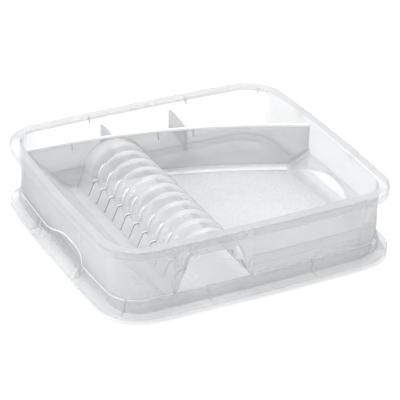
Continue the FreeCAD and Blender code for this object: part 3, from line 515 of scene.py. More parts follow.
class Sheet:
    """A thin moulded sheet, laid out as a grid of points on its visible face."""

    def __init__(self, name: str, rows: Sequence[Sequence[Vector]], ring: bool = False) -> None:
        """Takes the grid.

        Args:
            name: the piece's name.
            rows: rows of points, all of one length.
            ring: the last row meets the first.
        """
        self.name = name
        self.rows = rows
        self.ring = ring
        self.holes: Optional[Callable[[int, int], bool]] = None
        self.fill_last = False

    def object(self, gauge: float, flip: bool = False, edge: float = 0.35 * MM,
               even: bool = True) -> bpy.types.Object:
        """Builds the thickened sheet.

        Args:
            gauge: its thickness.
            flip: turns the visible face over.
            edge: the rounding of its cut edges.
            even: keeps the gauge constant round bends; off where the sheet has sharp steps.

        Returns:
            The finished object.
        """
        mesh = bpy.data.meshes.new(self.name)
        width = len(self.rows[0])
        points = [tuple(point) for row in self.rows for point in row]
        faces = []
        count = len(self.rows)
        for row in range(count if self.ring else count - 1):
            after = (row + 1) % count
            for column in range(width - 1):
                if self.holes and self.holes(row, column):
                    continue
                face = (row * width + column, after * width + column,
                        after * width + column + 1, row * width + column + 1)
                faces.append(face[::-1] if flip else face)
        if self.fill_last:
            loop = [row * width + width - 1 for row in range(count)]
            faces.append(loop[::-1] if flip else loop)
        mesh.from_pydata(points, [], faces)
        work = bmesh.new()
        work.from_mesh(mesh)
        bmesh.ops.remove_doubles(work, verts=work.verts, dist=SAME_POINT)
        bmesh.ops.dissolve_degenerate(work, edges=work.edges, dist=SAME_POINT / 2)
        loose = [vertex for vertex in work.verts if not vertex.link_faces]
        bmesh.ops.delete(work, geom=loose, context="VERTS")
        work.to_mesh(mesh)
        work.free()
        made = bpy.data.objects.new(self.name, mesh)
        bpy.context.collection.objects.link(made)
        thick = made.modifiers.new("gauge", "SOLIDIFY")
        thick.thickness = gauge
        thick.offset = -1
        thick.use_even_offset = even
        thick.thickness_clamp = 1.0
        settle(made)
        if edge > 0:
            soft = made.modifiers.new("edges", "BEVEL")
            soft.width = edge
            soft.segments = 2
            soft.limit_method = "ANGLE"
            soft.angle_limit = math.radians(BEVELLED_ABOVE)
            settle(made)
        return made


def settle(piece: bpy.types.Object) -> None:
    """Applies a piece's modifiers and sets its shading.

    Args:
        piece: the object, changed in place.
    """
    bpy.context.view_layer.update()
    graph = bpy.context.evaluated_depsgraph_get()
    mesh = bpy.data.meshes.new_from_object(piece.evaluated_get(graph))
    old = piece.data
    piece.modifiers.clear()
    piece.data = mesh
    bpy.data.meshes.remove(old)
    mesh.shade_smooth()
    mesh.set_sharp_from_angle(angle=math.radians(CREASED_ABOVE))


def bar(name: str, section: Sequence[Point], line: Sequence[Tuple[Vector, Vector]],
        top_from: float = NEVER) -> bpy.types.Object:
    """Sweeps a closed section along a line.

    Args:
        name: the piece's name.
        section: its corners, sideways and up.
        line: places and their sideways directions; a place's z is how far its crest rises.
        top_from: corners at least this high follow the line's rise and fall.

    Returns:
        The closed object.
    """
    count = len(section)
    points, faces = [], []
    for place, aside in line:
        flat = Vector((place.x, place.y, 0))
        points += [tuple((place if b >= top_from else flat) + aside * a + Vector((0, 0, b)))
                   for a, b in section]
    for step in range(len(line) - 1):
        for index in range(count):
            after = (index + 1) % count
            faces.append((step * count + index, step * count + after,
                          (step + 1) * count + after, (step + 1) * count + index))
    last = (len(line) - 1) * count
    faces.append(tuple(range(count))[::-1])
    faces.append(tuple(last + index for index in range(count)))
    mesh = bpy.data.meshes.new(name)
    mesh.from_pydata(points, [], faces)
    work = bmesh.new()
    work.from_mesh(mesh)
    bmesh.ops.recalc_face_normals(work, faces=work.faces)
    work.to_mesh(mesh)
    work.free()
    mesh.shade_smooth()
    mesh.set_sharp_from_angle(angle=math.radians(CREASED_ABOVE))
    made = bpy.data.objects.new(name, mesh)
    bpy.context.collection.objects.link(made)
    return made


def fit_out(piece: bpy.types.Object, finish: bpy.types.Material, body: Body,
            nodes: Sequence[str] = ()) -> bpy.types.Object:
    """Gives a piece its material, its body and the frame nodes that it stands for.

    Args:
        piece: the object.
        finish: its material.
        body: what it moves with.
        nodes: the nodes it replaces.

    Returns:
        The same object.
    """
    piece.data.materials.clear()
    piece.data.materials.append(finish)
    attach(piece, body.value)
    if nodes:
        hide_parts(*nodes)
    LOG.info("%s: %d faces on %s", piece.name, len(piece.data.polygons), body.value)
    return piece


# ------------------------------------------------------------------ the tray


@dataclass
class DripTray:
    """The tray: a flat bowl, a raised seat round it and a flange with finger recesses."""

    gauge: float = 2.0 * MM
    corner: float = 64 * MM
    flange_width: float = 14 * MM
    seat_width: float = 10 * MM
    grip_reach: float = 17 * MM
    lip_round: float = 1.2 * MM
    seat_round: float = 1.6 * MM
    recess_round: float = 0.6 * MM
    shelf_round: float = 1.5 * MM
    wall_round: float = 0.9 * MM
    spacing: float = 3.0 * MM
    bowl_round: float = 6 * MM
    floor_points: int = 7
    section_size: int = 44
    recess_end: float = 0.9 * MM

    def outline(self) -> Outline:
        """Returns the flange's outline, from the frame."""
        span = Span.of("tray_flange")
        return Outline(span.half_x, span.half_y, self.corner)

    def section(self, grip: bool) -> List[Point]:
        """Draws the sheet's visible face from the flange's edge to the floor.

        Args:
            grip: the section across a finger recess.

        Returns:
            Points of inset and height, as many for both kinds.
        """
        flange, seat = Span.of("tray_flange"), Span.of("tray_seat_front")
        level, top, floor = flange.high.z, seat.high.z, Span.of("tray_floor").high.z
        inner = self.flange_width + self.seat_width
        edge = [(0.0, flange.low.z, 0), (0.0, level, self.lip_round)]
        shelf = (self.flange_width, level, self.shelf_round)
        if grip:
            near = self.flange_width + self.grip_reach - self.gauge
            far = near + self.gauge
            middle = [(near, level, self.shelf_round), (near, top, self.wall_round),
                      (far, top, self.wall_round),
                      (far, level - self.gauge, self.recess_round),
                      (inner, level - self.gauge, self.recess_round)]
        else:
            middle = [shelf, (self.flange_width, top, self.seat_round), (inner, top, self.seat_round)]
        tail = [(inner, floor, self.bowl_round), (inner + 3 * self.bowl_round, floor, 0)]
        points = rounded([*edge, *middle, *tail])
        wall_end = len(points) - self.floor_points
        padding = [points[wall_end - 1]] * (self.section_size - len(points))
        return points[:wall_end] + padding + points[wall_end:]

    def in_grip(self, place: Point) -> bool:
        """Returns whether a station lies in a finger recess."""
        span = Span.of("tray_grip_right")
        return abs(place[0]) > span.low.x and abs(place[1]) < span.high.y

    def build(self, finish: bpy.types.Material) -> None:
        """Makes the tray's shell and dresses its ribs.

        Args:
            finish: the tray's material.
        """
        end = Span.of("tray_grip_right").high.y
        step = self.recess_end
        extra = [(arc, side * (end + gap))
                 for arc in (RIGHT_ARC, LEFT_ARC) for side in (-1, 1) for gap in (-step, step)]
        stations = self.outline().stations(self.spacing, extra)
        sections = {kind: self.section(kind) for kind in (False, True)}
        rows = []
        for (x, y), (nx, ny) in stations:
            section = sections[self.in_grip((x, y))]
            rows.append([Vector((x + nx * inset, y + ny * inset, z)) for inset, z in section])
        sheet = Sheet("tray_shell", rows, ring=True)
        sheet.fill_last = True
        nodes = ("tray_floor", "tray_wall", "tray_seat_front", "tray_seat_back",
                 "tray_flange", "tray_grip_left", "tray_grip_right")
        fit_out(sheet.object(self.gauge, edge=0, even=False), finish, Body.TRAY, nodes)
        dress_node("tray_ribs", finish)


def dress_node(node: str, finish: bpy.types.Material) -> None:
    """Gives a node of the frame its finish.

    Args:
        node: the node's name.
        finish: its material.
    """
    piece = bpy.data.objects[node]
    for place in piece.material_slots:
        place.material = finish
    LOG.info("%s: frame node with %s", node, finish.name)


# ------------------------------------------------------------------ the basket


@dataclass
class BasketShape:
    """Lines that the basket's pieces share, in metres."""

    gauge: float = 2.0 * MM
    corner: float = 60 * MM
    ledge: float = 15 * MM
    floor: float = 28.5 * MM
    partition_radius: float = 900 * MM
    partition_centre: Tuple[float, float] = (-205 * MM, -757 * MM)
    rack_x: float = -69 * MM
    rack_foot: float = 58.5 * MM
    tuck: float = 0.8 * MM

    def outline(self) -> Outline:
        """Returns the rim's outline, from the frame."""
        span = Span.of("drainer_rim")
        return Outline(span.half_x, span.half_y, self.corner)

    @property
    def wall_middle(self) -> float:
        """Inset of the middle of the wall's thickness."""
        return self.ledge + self.gauge / 2

    def partition_y(self, x: float, behind: float = 0.0) -> float:
        """Where the partition's face is at a given x.

        Args:
            x: along the long side.
            behind: how far behind the front face.

        Returns:
            Its y.
        """
        cx, cy = self.partition_centre
        return cy + math.sqrt((self.partition_radius + behind) ** 2 - (x - cx) ** 2)


@dataclass
class BasketShell:
    """The rim with its lip, and the wall with the finger notches and the tunnel's mouth."""

    shape: BasketShape
    roll: float = 4 * MM
    shoulder: float = 2.5 * MM
    notch_back: float = 57 * MM
    notch_crest: float = -28 * MM
    notch_front: float = -73 * MM
    notch_rise: float = 22 * MM
    mouth_foot: float = 59 * MM
    mouth_head: float = 36 * MM
    mouth_top: float = 78 * MM
    bead_width: float = 2.4 * MM
    bead_gauge: float = 0.2 * MM
    shoulder_drop: float = 10 * MM
    rim_piece: float = 5 * MM
    mouth_margin: float = 1 * MM
    levels: int = 16
    spacing: float = 3.0 * MM

    def stations(self) -> List[Tuple[Point, Point]]:
        """Walks round the wall, with stations at the mouth's corners and the notches' steep ends.

        Returns:
            Each station's place and its inward direction.
        """
        extra = [(FRONT_ARC, self.shape.rack_x + side * place)
                 for side in (-1, 1) for place in (self.mouth_foot, self.mouth_head)]
        extra += [(arc, self.notch_front + gap * MM)
                  for arc in (RIGHT_ARC, LEFT_ARC) for gap in (0.02, 0.2, 0.6, 1.3)]
        return self.shape.outline().stations(self.spacing, extra)

    def bottom(self, x: float, y: float) -> float:
        """Height of the wall's bottom edge.

        Args:
            x: place along the long side.
            y: place along the short side.

        Returns:
            The height above the ground.
        """
        low = Span.of("basket_wall").low.z
        if self.notch_crest < y < self.notch_back:
            share = (self.notch_back - y) / (self.notch_back - self.notch_crest)
            return low + self.notch_rise * share * share * (3 - 2 * share)
        if self.notch_front < y <= self.notch_crest:
            share = (self.notch_crest - y) / (self.notch_crest - self.notch_front)
            return low + self.notch_rise * (1 - share ** 4) ** 0.25
        aside = abs(x - self.shape.rack_x)
        if y < 0 and aside < self.mouth_foot:
            share = min(1.0, (self.mouth_foot - aside) / (self.mouth_foot - self.mouth_head))
            return low + (self.mouth_top - low) * share
        return low

    def build(self, finish: bpy.types.Material) -> None:
        """Makes the shell and dresses the ribs under the rim.

        Args:
            finish: the basket's material.
        """
        shape, rim = self.shape, Span.of("drainer_rim")
        inner = shape.ledge + shape.gauge
        top, wall_top = rim.high.z, rim.high.z - self.shoulder_drop
        head = rounded([(0.0, rim.low.z, 0), (0.0, top, self.roll), (inner, top, self.shoulder),
                        (inner, wall_top, 0)])
        head = split_long(head, self.rim_piece)
        rows = []
        for (x, y), (nx, ny) in self.stations():
            low = self.bottom(x, y)
            section = list(head)
            section += [(inner, wall_top + (low - wall_top) * step / self.levels)
                        for step in range(1, self.levels + 1)]
            rows.append([Vector((x + nx * inset, y + ny * inset, z)) for inset, z in section])
        piece = Sheet("basket_shell", rows, ring=True).object(shape.gauge)
        fit_out(piece, finish, Body.BASKET, ("drainer_rim", "basket_wall"))
        # painted highlight along the wall's bottom edge
        self.foot_bead_highlight()
        for node in ("rim_ribs", "partition_ribs"):
            dress_node(node, finish)

    def foot_bead_highlight(self) -> None:
        """Makes a thin rounded bead along the wall's bottom edge, from one side of the mouth to the other,
        in the painted highlight finish.
        """
        shape = self.shape
        line = []
        for (x, y), (nx, ny) in self.stations():
            place = Vector((x + nx * shape.ledge, y + ny * shape.ledge, self.bottom(x, y)))
            line.append((place, Vector((-nx, -ny, 0))))
        section = ((0.1, 0.0), (0.4, 0.25), (0.5, 0.5), (0.4, 0.75), (0.1, 1.0))
        before_mouth, after_mouth = [], []
        rows = before_mouth
        for index, (place, outward) in enumerate(line):
            near_mouth = abs(place.x - shape.rack_x) < self.mouth_foot + self.mouth_margin
            if near_mouth and place.y < -shape.outline().half_y / 2:
                rows = after_mouth
                continue
            along = line[(index + 1) % len(line)][0] - line[index - 1][0]
            inward = outward.cross(along).normalized()
            rows.append([place + outward * (rise * MM) + inward * (self.bead_width * share)
                         for rise, share in section])
        sheet = Sheet("wall_foot_bead", after_mouth + before_mouth)
        piece = sheet.object(self.bead_gauge, edge=0, even=False)
        fit_out(piece, PAINTED_HIGHLIGHT.material(), Body.BASKET)


@dataclass
class Basin:
    """The wide basin: a pebbled floor whose edge slopes up to the wall."""

    shape: BasketShape
    rise: float = 28 * MM
    side_run: float = 30 * MM
    end_run: float = 17 * MM
    blend: float = 4 * MM
    partition_foot: float = 8 * MM
    pebble: float = 6.5 * MM
    pebble_depth: float = 0.75 * MM
    pebble_fade: float = 3 * MM
    step: float = 1.6 * MM

    def slope(self, x: float, y: float) -> float:
        """Rise of the sloped edge above the floor.

        Args:
            x: place along the long side.
            y: place along the short side.

        Returns:
            The rise.
        """
        outline, inset = self.shape.outline(), self.shape.ledge + self.shape.gauge
        cx, cy = outline.corner_centre()
        if x > cx and y < -cy:
            radius = outline.corner - inset
            ax, ay = radius - self.side_run, radius - self.end_run
            across, down = x - cx, -cy - y
            reach = math.hypot(across, down)
            if reach < 1e-6:
                return 0.0
            edge = 1 / math.sqrt((across / reach / ax) ** 2 + (down / reach / ay) ** 2)
            run = radius - edge
            return self.rise / run * ramp(reach - edge, self.blend)
        side = ramp(self.side_run - (outline.reach_x(y, inset) - x), self.blend) / self.side_run
        end = ramp(self.end_run - (y + outline.reach_y(x, inset)), self.blend) / self.end_run
        return self.rise * max(side, end)

    def pebbles(self, x: float, y: float, slope: float) -> float:
        """Height of the pebbled texture, which fades out on the slope.

        Args:
            x: place along the long side.
            y: place along the short side.
            slope: the slope's rise there.

        Returns:
            The height.
        """
        distances, _ = noise.voronoi(Vector((x / self.pebble, y / self.pebble, 0.37)))
        crest = min(1.0, (distances[1] - distances[0]) * 1.6)
        fade = max(0.0, 1 - slope / self.pebble_fade)
        return self.pebble_depth * crest * fade

    def build(self, finish: bpy.types.Material) -> None:
        """Makes the floor with its slopes as one sheet.

        Args:
            finish: the basket's material.
        """
        shape = self.shape
        outline, inset = shape.outline(), shape.wall_middle
        left = shape.rack_x + shape.rack_foot - shape.tuck
        right = outline.half_x - inset
        columns = math.ceil((right - left) / self.step)
        count = math.ceil(2 * outline.half_y / self.step * 0.8)
        rows = []
        for column in range(columns + 1):
            x = left + (right - left) * column / columns
            front = -outline.reach_y(x, inset)
            back = shape.partition_y(x, shape.gauge / 2)
            row = []
            for index in range(count + 1):
                y = front + (back - front) * index / count
                across = min(x, outline.reach_x(y, inset))
                slope = self.slope(across, y)
                to_face = shape.partition_y(across) - y
                z = shape.floor + slope + self.pebbles(across, y, slope)
                z += foot(to_face, self.partition_foot) * 0.9
                row.append(Vector((across, y, z)))
            rows.append(row)
        piece = Sheet("basin", rows).object(shape.gauge, edge=0)
        fit_out(piece, finish, Body.BASKET, ("basin_floor", "basin_cove"))


@dataclass
class Trough:
    """The narrow trough on the left: a strip of floor and a long slope up to the wall."""

    shape: BasketShape
    run: float = 70 * MM
    rise: float = 74 * MM
    blend: float = 5 * MM
    partition_foot: float = 6 * MM

    def build(self, finish: bpy.types.Material) -> None:
        """Makes the trough as one sheet.

        Args:
            finish: the basket's material.
        """
        shape = self.shape
        outline, inset = shape.outline(), shape.wall_middle
        right = shape.rack_x - shape.rack_foot + shape.tuck
        foot_x = -(outline.half_x - shape.ledge - shape.gauge) + self.run
        left = -(outline.half_x - inset)
        columns, count = 48, 90
        rows = []
        for column in range(columns + 1):
            x = left + (right - left) * column / columns
            front = -outline.reach_y(x, inset)
            back = shape.partition_y(x, shape.gauge / 2)
            row = []
            for index in range(count + 1):
                y = front + (back - front) * index / count
                across = max(x, -outline.reach_x(y, inset))
                z = shape.floor + self.rise / self.run * ramp(foot_x - across, self.blend)
                z += foot(shape.partition_y(across) - y, self.partition_foot) * 0.6
                row.append(Vector((across, y, z)))
            rows.append(row)
        piece = Sheet("trough", rows).object(shape.gauge, edge=0)
        fit_out(piece, finish, Body.BASKET, ("trough_floor", "trough_slope"))


@dataclass
class PlateRack:
    """The ribbed hump that holds plates upright, with drain slots down both flanks."""

    shape: BasketShape
    radius: float = 47 * MM
    groove_depth: float = 9 * MM
    groove_round: float = 4 * MM
    pitch: float = 28 * MM
    slot_half: float = 1.3 * MM
    slot_low: float = 30 * MM
    slot_high: float = 51 * MM
    slot_steps: Tuple[float, float, float] = (35 * MM, 40 * MM, 45 * MM)
    sink: float = 1.2 * MM
    beyond_partition: float = 200 * MM
    foot_rise: float = 24 * MM
    foot_margin: float = 1 * MM
    left_share: float = 0.55
    # widths of the painted shade line and the painted highlight line on the grooves' feet
    painted_shade_half: float = 1.35 * MM
    painted_highlight_end: float = 3.6 * MM
    ribs: int = 10

    @property
    def ridge_round(self) -> float:
        """Radius of a rib's crest, tangent to the groove's."""
        half = self.pitch / 2
        return (half * half + self.groove_depth ** 2) / (2 * self.groove_depth) - self.groove_round

    def reach(self, along: float, first: float) -> float:
        """Distance of the ribbed face from the rack's axis.

        Args:
            along: y of the place.
            first: y of the first groove.

        Returns:
            The distance.
        """
        last = first + self.pitch * self.ribs
        half = self.pitch / 2
        if along > last + half or along < first - half:
            return self.radius
        aside = abs((along - first + half) % self.pitch - half)
        turn = half / (self.ridge_round + self.groove_round)
        if aside < self.groove_round * turn:
            rise = self.groove_round - math.sqrt(self.groove_round ** 2 - aside ** 2)
            return self.radius - self.groove_depth + rise
        return self.radius - self.ridge_round + math.sqrt(self.ridge_round ** 2 - (half - aside) ** 2)

    def along(self, first: float, front: float, back: float) -> List[float]:
        """Chooses the places along the rack where the sheet has points.

        Args:
            first: y of the first groove.
            front: y of the front end.
            back: y of the back end.

        Returns:
            The places, in order.
        """
        shares = (0.0, self.slot_half / MM, 2.4, 3.6, 4.6, 6.0, 7.6, 9.4, 11.6, 14.0)
        marks = set()
        for groove in range(self.ribs + 1):
            for share in shares:
                for side in (-1, 1):
                    marks.add(round(first + self.pitch * groove + side * share * MM, 7))
        marks = [mark for mark in marks if front < mark < back]
        last = max(marks)
        return [front, *sorted(marks), *(last + (back - last) * step / 6 for step in range(1, 7))]

    def build(self, finish: bpy.types.Material) -> None:
        """Makes the rack as one sheet from foot to foot.

        Args:
            finish: the basket's material.
        """
        shape = self.shape
        outline, inset = shape.outline(), shape.wall_middle
        first = Span.of("rack_rib_01").low.y
        axis = Span.of("rack_rib_01").low.z
        toe = shape.rack_foot - shape.gauge / 2
        levels = [shape.floor - self.sink, shape.floor, self.slot_low, *self.slot_steps,
                  self.slot_high, axis]
        lean = (toe - self.radius) / (axis - shape.floor)
        arch_steps = 40
        path = [(1, level, None) for level in levels] + [(1, axis, 0.0)]
        path += [(0, 0.0, math.pi * step / arch_steps) for step in range(1, arch_steps)]
        path += [(-1, axis, math.pi)] + [(-1, level, None) for level in reversed(levels)]
        places = self.along(first, -outline.half_y, self.beyond_partition)
        rows = []
        for side, level, angle in path:
            row = []
            for mark in places:
                if angle is None:
                    aside, z = side * (self.radius + lean * (axis - level)), level
                else:
                    reach = self.reach(mark, first)
                    aside, z = reach * math.cos(angle), axis + reach * math.sin(angle)
                x = shape.rack_x + aside
                front = -outline.reach_y(x, inset)
                back = shape.partition_y(x, shape.gauge / 2)
                row.append(Vector((x, min(max(mark, front), back), z)))
            rows.append(row)
        low, high = 2, len(levels) - 2
        flanks = set(range(low, high)) | {len(path) - 2 - row for row in range(low, high)}
        slots = {index for index, mark in enumerate(places[:-1])
                 if abs((mark + self.slot_half - first + self.pitch / 2) % self.pitch - self.pitch / 2)
                 < self.slot_half * 1.01 and mark < first + self.pitch * (self.ribs + 0.3)}
        sheet = Sheet("plate_rack", rows)
        sheet.holes = lambda row, column: row in flanks and column in slots
        nodes = ["rack_rib_%02d" % number for number in range(1, self.ribs + 1)]
        nodes += ["rack_end_front", "rack_end_back", "rack_flank_left", "rack_flank_right"]
        piece = sheet.object(shape.gauge, flip=True, edge=0, even=False)
        fit_out(piece, finish, Body.BASKET, nodes)
        self.paint_feet_shade_and_highlight(piece, first, axis)

    def paint_feet_shade_and_highlight(self, piece: bpy.types.Object, first: float, axis: float) -> None:
        """Paints shade as dark lines on the slots' cut edges and the grooves' left feet, and painted
        highlights as bright lines beside them on the feet.

        Args:
            piece: the rack's sheet.
            first: y of the first groove.
            axis: height of the rack's axis.
        """
        piece.data.materials.append(SLOT_PAINTED_SHADE.material())
        piece.data.materials.append(PAINTED_HIGHLIGHT.material())
        for face in piece.data.polygons:
            place = face.center
            beyond = (place.y - first + self.pitch / 2) % self.pitch - self.pitch / 2
            in_slot = self.slot_low < place.z < self.slot_high and abs(face.normal.y) > 0.8
            on_left = place.x < self.shape.rack_x - self.radius * self.left_share
            at_foot = on_left and axis - self.foot_margin < place.z < axis + self.foot_rise
            # painted shade on slot edges and groove feet; painted highlight beside it on the feet
            if abs(beyond) < self.painted_shade_half and (in_slot or at_foot):
                face.material_index = 1
            elif at_foot and self.painted_shade_half < beyond < self.painted_highlight_end:
                face.material_index = 2


@dataclass
class CutleryBay:
    """The curved partition, the two dividers and the rounded pockets behind it."""

    shape: BasketShape
    top: float = 101 * MM
    web: float = 2.6 * MM
    pocket_round: float = 34 * MM
    bead: float = 2.0 * MM
    fall: float = 8 * MM
    left_end_y: float = 140 * MM
    right_end_y: float = 42 * MM
    middle_y: float = 120 * MM
    reference_y: float = 126 * MM
    web_tuck: float = 4 * MM
    pocket_foot: float = 3 * MM
    strip_round: float = 7 * MM
    strip_gauge: float = 0.3 * MM
    strip_lift: float = 1.0 * MM
    strip_start: float = 1 * MM
    strip_end: float = 24 * MM
    strip_end_y: float = 80 * MM
    lines: Tuple[Tuple[float, float, float], ...] = (
        (-71 * MM, 135 * MM, 8.0), (41 * MM, 118 * MM, 8.5))

    def line_x(self, index: int, y: float) -> float:
        """Where a divider's middle is at a given y.

        Args:
            index: 0 for the left divider and 1 for the right one.
            y: the place.

        Returns:
            Its x.
        """
        x0, y0, tilt = self.lines[index]
        return x0 + (y - y0) * math.tan(math.radians(tilt))

    def partition(self, finish: bpy.types.Material) -> None:
        """Makes the partition with its rounded bead; the bead takes the painted highlight finish and the
        wall the darker finish of painted reflection.

        Args:
            finish: the basket's material; not used.
        """
        shape = self.shape
        low, high = Span.of("cutlery_partition").low.z, Span.of("partition_bead").high.z
        half = shape.gauge / 2
        crown = high - self.bead
        section = [(-half, low), (half, low), (half, crown - self.bead), (-half, crown - self.bead)]
        round_top = [(self.bead * math.cos(angle), crown + self.bead * math.sin(angle))
                     for angle in (math.pi * step / 10 for step in range(11))]
        round_top += [(-self.bead, crown - self.bead), (self.bead, crown - self.bead)]
        cx, cy = shape.partition_centre
        outline = shape.outline()
        radius = shape.partition_radius + half
        left = -outline.reach_x(self.left_end_y, shape.wall_middle)
        right = outline.reach_x(self.right_end_y, shape.wall_middle)
        line = []
        for step in range(97):
            x = left + (right - left) * step / 96
            angle = math.acos((x - cx) / radius)
            away = Vector((math.cos(angle), math.sin(angle), 0))
            line.append((Vector((cx, cy, 0)) + away * radius, away))
        wall = bar("cutlery_partition_wall", section, line)
        # the wall takes the darker finish of painted reflection
        fit_out(wall, PARTITION_PAINTED_REFLECTION.material(), Body.BASKET, ("cutlery_partition",))
        # the bead takes the painted highlight finish
        rolled = bar("cutlery_partition_bead_highlight", round_top, line)
        fit_out(rolled, PAINTED_HIGHLIGHT.material(), Body.BASKET, ("partition_bead",))

    def webs(self, finish: bpy.types.Material) -> None:
        """Makes the dividers' upright webs.

        Args:
            finish: the basket's material.
        """
        outline = self.shape.outline()
        for index, name in enumerate(("divider_left", "divider_right")):
            x0, _, tilt = self.lines[index]
            half = self.web / 2
            low = Span.of("cutlery_floor_left").high.z + self.pocket_round - self.web_tuck
            crown = self.top - half
            section = [(-half, low), (half, low)]
            section += [(half * math.cos(angle), crown + half * math.sin(angle))
                        for angle in (math.pi * step / 8 for step in range(9))]
            turn = math.radians(tilt)
            aside = Vector((math.cos(turn), -math.sin(turn), 0))
            start = self.shape.partition_y(x0, self.shape.gauge)
            end = outline.reach_y(x0, self.shape.wall_middle)
            line = []
            for step in range(13):
                share = step / 12
                y = start + (end - start) * share
                line.append((Vector((self.line_x(index, y), y, -self.fall * share ** 2)), aside))
            piece = bar(name + "_web", section, line, top_from=crown)
            fit_out(piece, finish, Body.BASKET, (name,))

    def floor(self, finish: bpy.types.Material) -> None:
        """Makes the pockets' floors and the dividers' spread feet as one sheet.

        Args:
            finish: the basket's material.
        """
        shape = self.shape
        outline, inset = shape.outline(), shape.wall_middle
        level = Span.of("cutlery_floor_left").high.z
        half = outline.half_x - inset
        leans = [(x, math.tan(math.radians(tilt))) for x, _, tilt in self.lines]
        knots = [(-half, 0.0), *leans, (half, 0.0)]
        marks = set()
        for step in range(143):
            marks.add(-half + 2 * half * step / 142)
        for x, _, _ in self.lines:
            for side in (-1, 1):
                for reach in (0.0, 0.45, 0.9, 1.3, 1.5, 1.9, 2.4, 3.2, 4.4, 6.0, 8.0, 10.5, 14.0):
                    marks.add(x + side * reach * MM)
        count = 40
        rows = []
        for mark in sorted(marks):
            row = []
            for index in range(count + 1):
                y = self.middle_y
                for _ in range(4):
                    x = self.sheared(mark, y, knots)
                    x = min(max(x, -outline.reach_x(y, inset)), outline.reach_x(y, inset))
                    front = shape.partition_y(x, shape.gauge / 2)
                    back = max(front, outline.reach_y(x, inset))
                    y = front + (back - front) * index / count
                x = min(max(x, -outline.reach_x(y, inset)), outline.reach_x(y, inset))
                rise = 0.0
                for number in range(len(self.lines)):
                    tilt = math.radians(self.lines[number][2])
                    aside = abs(x - self.line_x(number, y)) * math.cos(tilt) - self.web / 2
                    rise = max(rise, foot(aside, self.pocket_round))
                rise = max(rise, foot(y - shape.partition_y(x, shape.gauge), self.pocket_foot),
                           foot(outline.reach_y(x, inset) - y, self.pocket_foot))
                row.append(Vector((x, y, level + min(rise, self.pocket_round))))
            rows.append(row)
        piece = Sheet("cutlery_pockets", rows).object(shape.gauge, edge=0)
        fit_out(piece, finish, Body.BASKET,
                ("cutlery_floor_left", "cutlery_floor_middle", "cutlery_floor_right"))

    def sheared(self, mark: float, y: float, knots: Sequence[Point]) -> float:
        """Leans a column of the sheet with the dividers on either side of it.

        Args:
            mark: the column's x on the reference line.
            y: the place.
            knots: x and lean of the walls and the dividers.

        Returns:
            The column's x at that place.
        """
        for (x0, lean0), (x1, lean1) in zip(knots, knots[1:]):
            if mark <= x1:
                share = (mark - x0) / (x1 - x0)
                lean = lean0 + (lean1 - lean0) * share
                return mark + (y - self.reference_y) * lean
        return mark

    def build(self, finish: bpy.types.Material) -> None:
        """Makes the whole bay.

        Args:
            finish: the basket's material.
        """
        self.partition(finish)
        self.webs(finish)
        self.floor(POCKET_CLEAR.material())
        # painted highlight along the partition's foot
        self.foot_highlight_strip()

    def foot_highlight_strip(self) -> None:
        """Makes a thin rounded strip along the partition's foot in the basin, in the painted highlight
        finish, standing in for the light caught by the foot's fillet.
        """
        shape = self.shape
        left = shape.rack_x + shape.rack_foot + self.strip_start
        right = shape.outline().reach_x(self.strip_end_y, shape.wall_middle) - self.strip_end
        rows = []
        for step in range(65):
            x = left + (right - left) * step / 64
            row = []
            for turn in range(9):
                angle = math.pi / 2 * turn / 8
                back = self.strip_round * (1 - math.sin(angle)) + self.strip_gauge
                up = self.strip_round * (1 - math.cos(angle)) + self.strip_lift
                row.append(Vector((x, shape.partition_y(x) - back, shape.floor + up)))
            rows.append(row)
        sheet = Sheet("partition_foot_strip", rows)
        piece = sheet.object(self.strip_gauge, flip=True, edge=0, even=False)
        fit_out(piece, PAINTED_HIGHLIGHT.material(), Body.BASKET)


# ------------------------------------------------------------------ studio


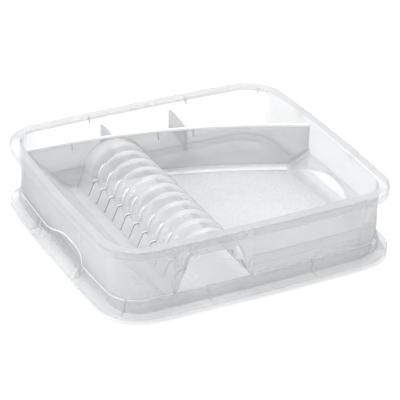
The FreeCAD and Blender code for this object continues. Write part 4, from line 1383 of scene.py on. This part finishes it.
@dataclass
class Studio:
    """A plain pale floor, soft light and the camera."""

    azimuth: float = -27.33
    elevation: float = 28.93
    roll: float = 1.04
    distance: float = 2667.6 * MM
    aside: float = 7.31 * MM
    above: float = 42.05 * MM
    drop: float = 4 * MM
    lens: float = 163.4
    horizon: float = 0.45
    sky: float = 0.66
    floor_gap: float = 0.2 * MM

    def camera(self) -> None:
        """Sets the camera."""
        turn, lift, roll = (math.radians(angle) for angle in (self.azimuth, self.elevation, self.roll))
        back = Vector((math.sin(turn) * math.cos(lift), -math.cos(turn) * math.cos(lift), math.sin(lift)))
        level = Vector((math.cos(turn), math.sin(turn), 0))
        raised = back.cross(level)
        right = level * math.cos(roll) + raised * math.sin(roll)
        upward = raised * math.cos(roll) - level * math.sin(roll)
        data = bpy.data.cameras.new("camera")
        data.lens = self.lens
        data.sensor_width = 36.0
        data.clip_end = 50.0
        made = bpy.data.objects.new("camera", data)
        bpy.context.collection.objects.link(made)
        place = right * self.aside + upward * self.above + back * self.distance - Vector((0, 0, self.drop))
        made.matrix_world = Matrix((
            (right.x, upward.x, back.x, place.x),
            (right.y, upward.y, back.y, place.y),
            (right.z, upward.z, back.z, place.z),
            (0, 0, 0, 1)))
        bpy.context.scene.camera = made

    def panel(self, name: str, place: Tuple[float, float, float], size: float, power: float) -> None:
        """Adds a soft square light aimed at the rack.

        Args:
            name: its name.
            place: where it hangs.
            size: its side.
            power: its power in watts.
        """
        data = bpy.data.lights.new(name, "AREA")
        data.shape = "SQUARE"
        data.size = size
        data.energy = power
        made = bpy.data.objects.new(name, data)
        made.location = place
        made.rotation_euler = (-Vector(place)).to_track_quat("-Z", "Y").to_euler()
        bpy.context.collection.objects.link(made)

    def _gradient(self, tree: bpy.types.NodeTree, sky: bpy.types.Node) -> None:
        """Makes the surroundings darker near the horizon, so that upright faces show.

        Args:
            tree: the world's nodes.
            sky: its background.
        """
        place = tree.nodes.new("ShaderNodeTexCoord")
        axes = tree.nodes.new("ShaderNodeSeparateXYZ")
        shade = tree.nodes.new("ShaderNodeValToRGB")
        low, high = shade.color_ramp.elements
        low.position, low.color = 0.05, (self.horizon, self.horizon, self.horizon, 1.0)
        high.position, high.color = 0.6, (1.0, 1.0, 1.0, 1.0)
        tree.links.new(place.outputs["Generated"], axes.inputs["Vector"])
        tree.links.new(axes.outputs["Z"], shade.inputs["Fac"])
        tree.links.new(shade.outputs["Color"], sky.inputs["Color"])

    def build(self) -> None:
        """Lays the floor and hangs the lights."""
        mesh = bpy.data.meshes.new("floor")
        half = 6.0
        level = CAD_BOX[0][2] - self.floor_gap
        mesh.from_pydata([(-half, -half, level), (half, -half, level), (half, half, level),
                          (-half, half, level)], [], [(0, 1, 2, 3)])
        ground = bpy.data.objects.new("floor", mesh)
        mesh.materials.append(PaleFloor().material())
        bpy.context.collection.objects.link(ground)
        world = bpy.data.worlds.new("studio")
        world.use_nodes = True
        sky = world.node_tree.nodes["Background"]
        sky.inputs["Strength"].default_value = self.sky
        self._gradient(world.node_tree, sky)
        bpy.context.scene.world = world
        self.panel("top", (0.3, 0.5, 2.4), 2.2, 64)
        self.panel("left", (-2.2, -0.6, 1.3), 1.2, 28)
        scene = bpy.context.scene
        scene.view_settings.view_transform = "Standard"
        scene.cycles.transparent_max_bounces = 40
        scene.cycles.max_bounces = 12
        self.camera()


def main() -> None:
    """Builds every piece in order."""
    logging.basicConfig(level=logging.INFO, format="%(message)s")
    DripTray().build(TRAY_CLEAR.material())
    shape = BasketShape()
    BasketShell(shape).build(BASKET_CLEAR.material())
    Basin(shape).build(BASIN_FROSTED.material())
    Trough(shape).build(TROUGH_CLEAR.material())
    PlateRack(shape).build(RACK_PAINTED_LIGHT.material())
    CutleryBay(shape).build(BASKET_CLEAR.material())
    Studio().build()


if __name__ == "__main__":
    main()
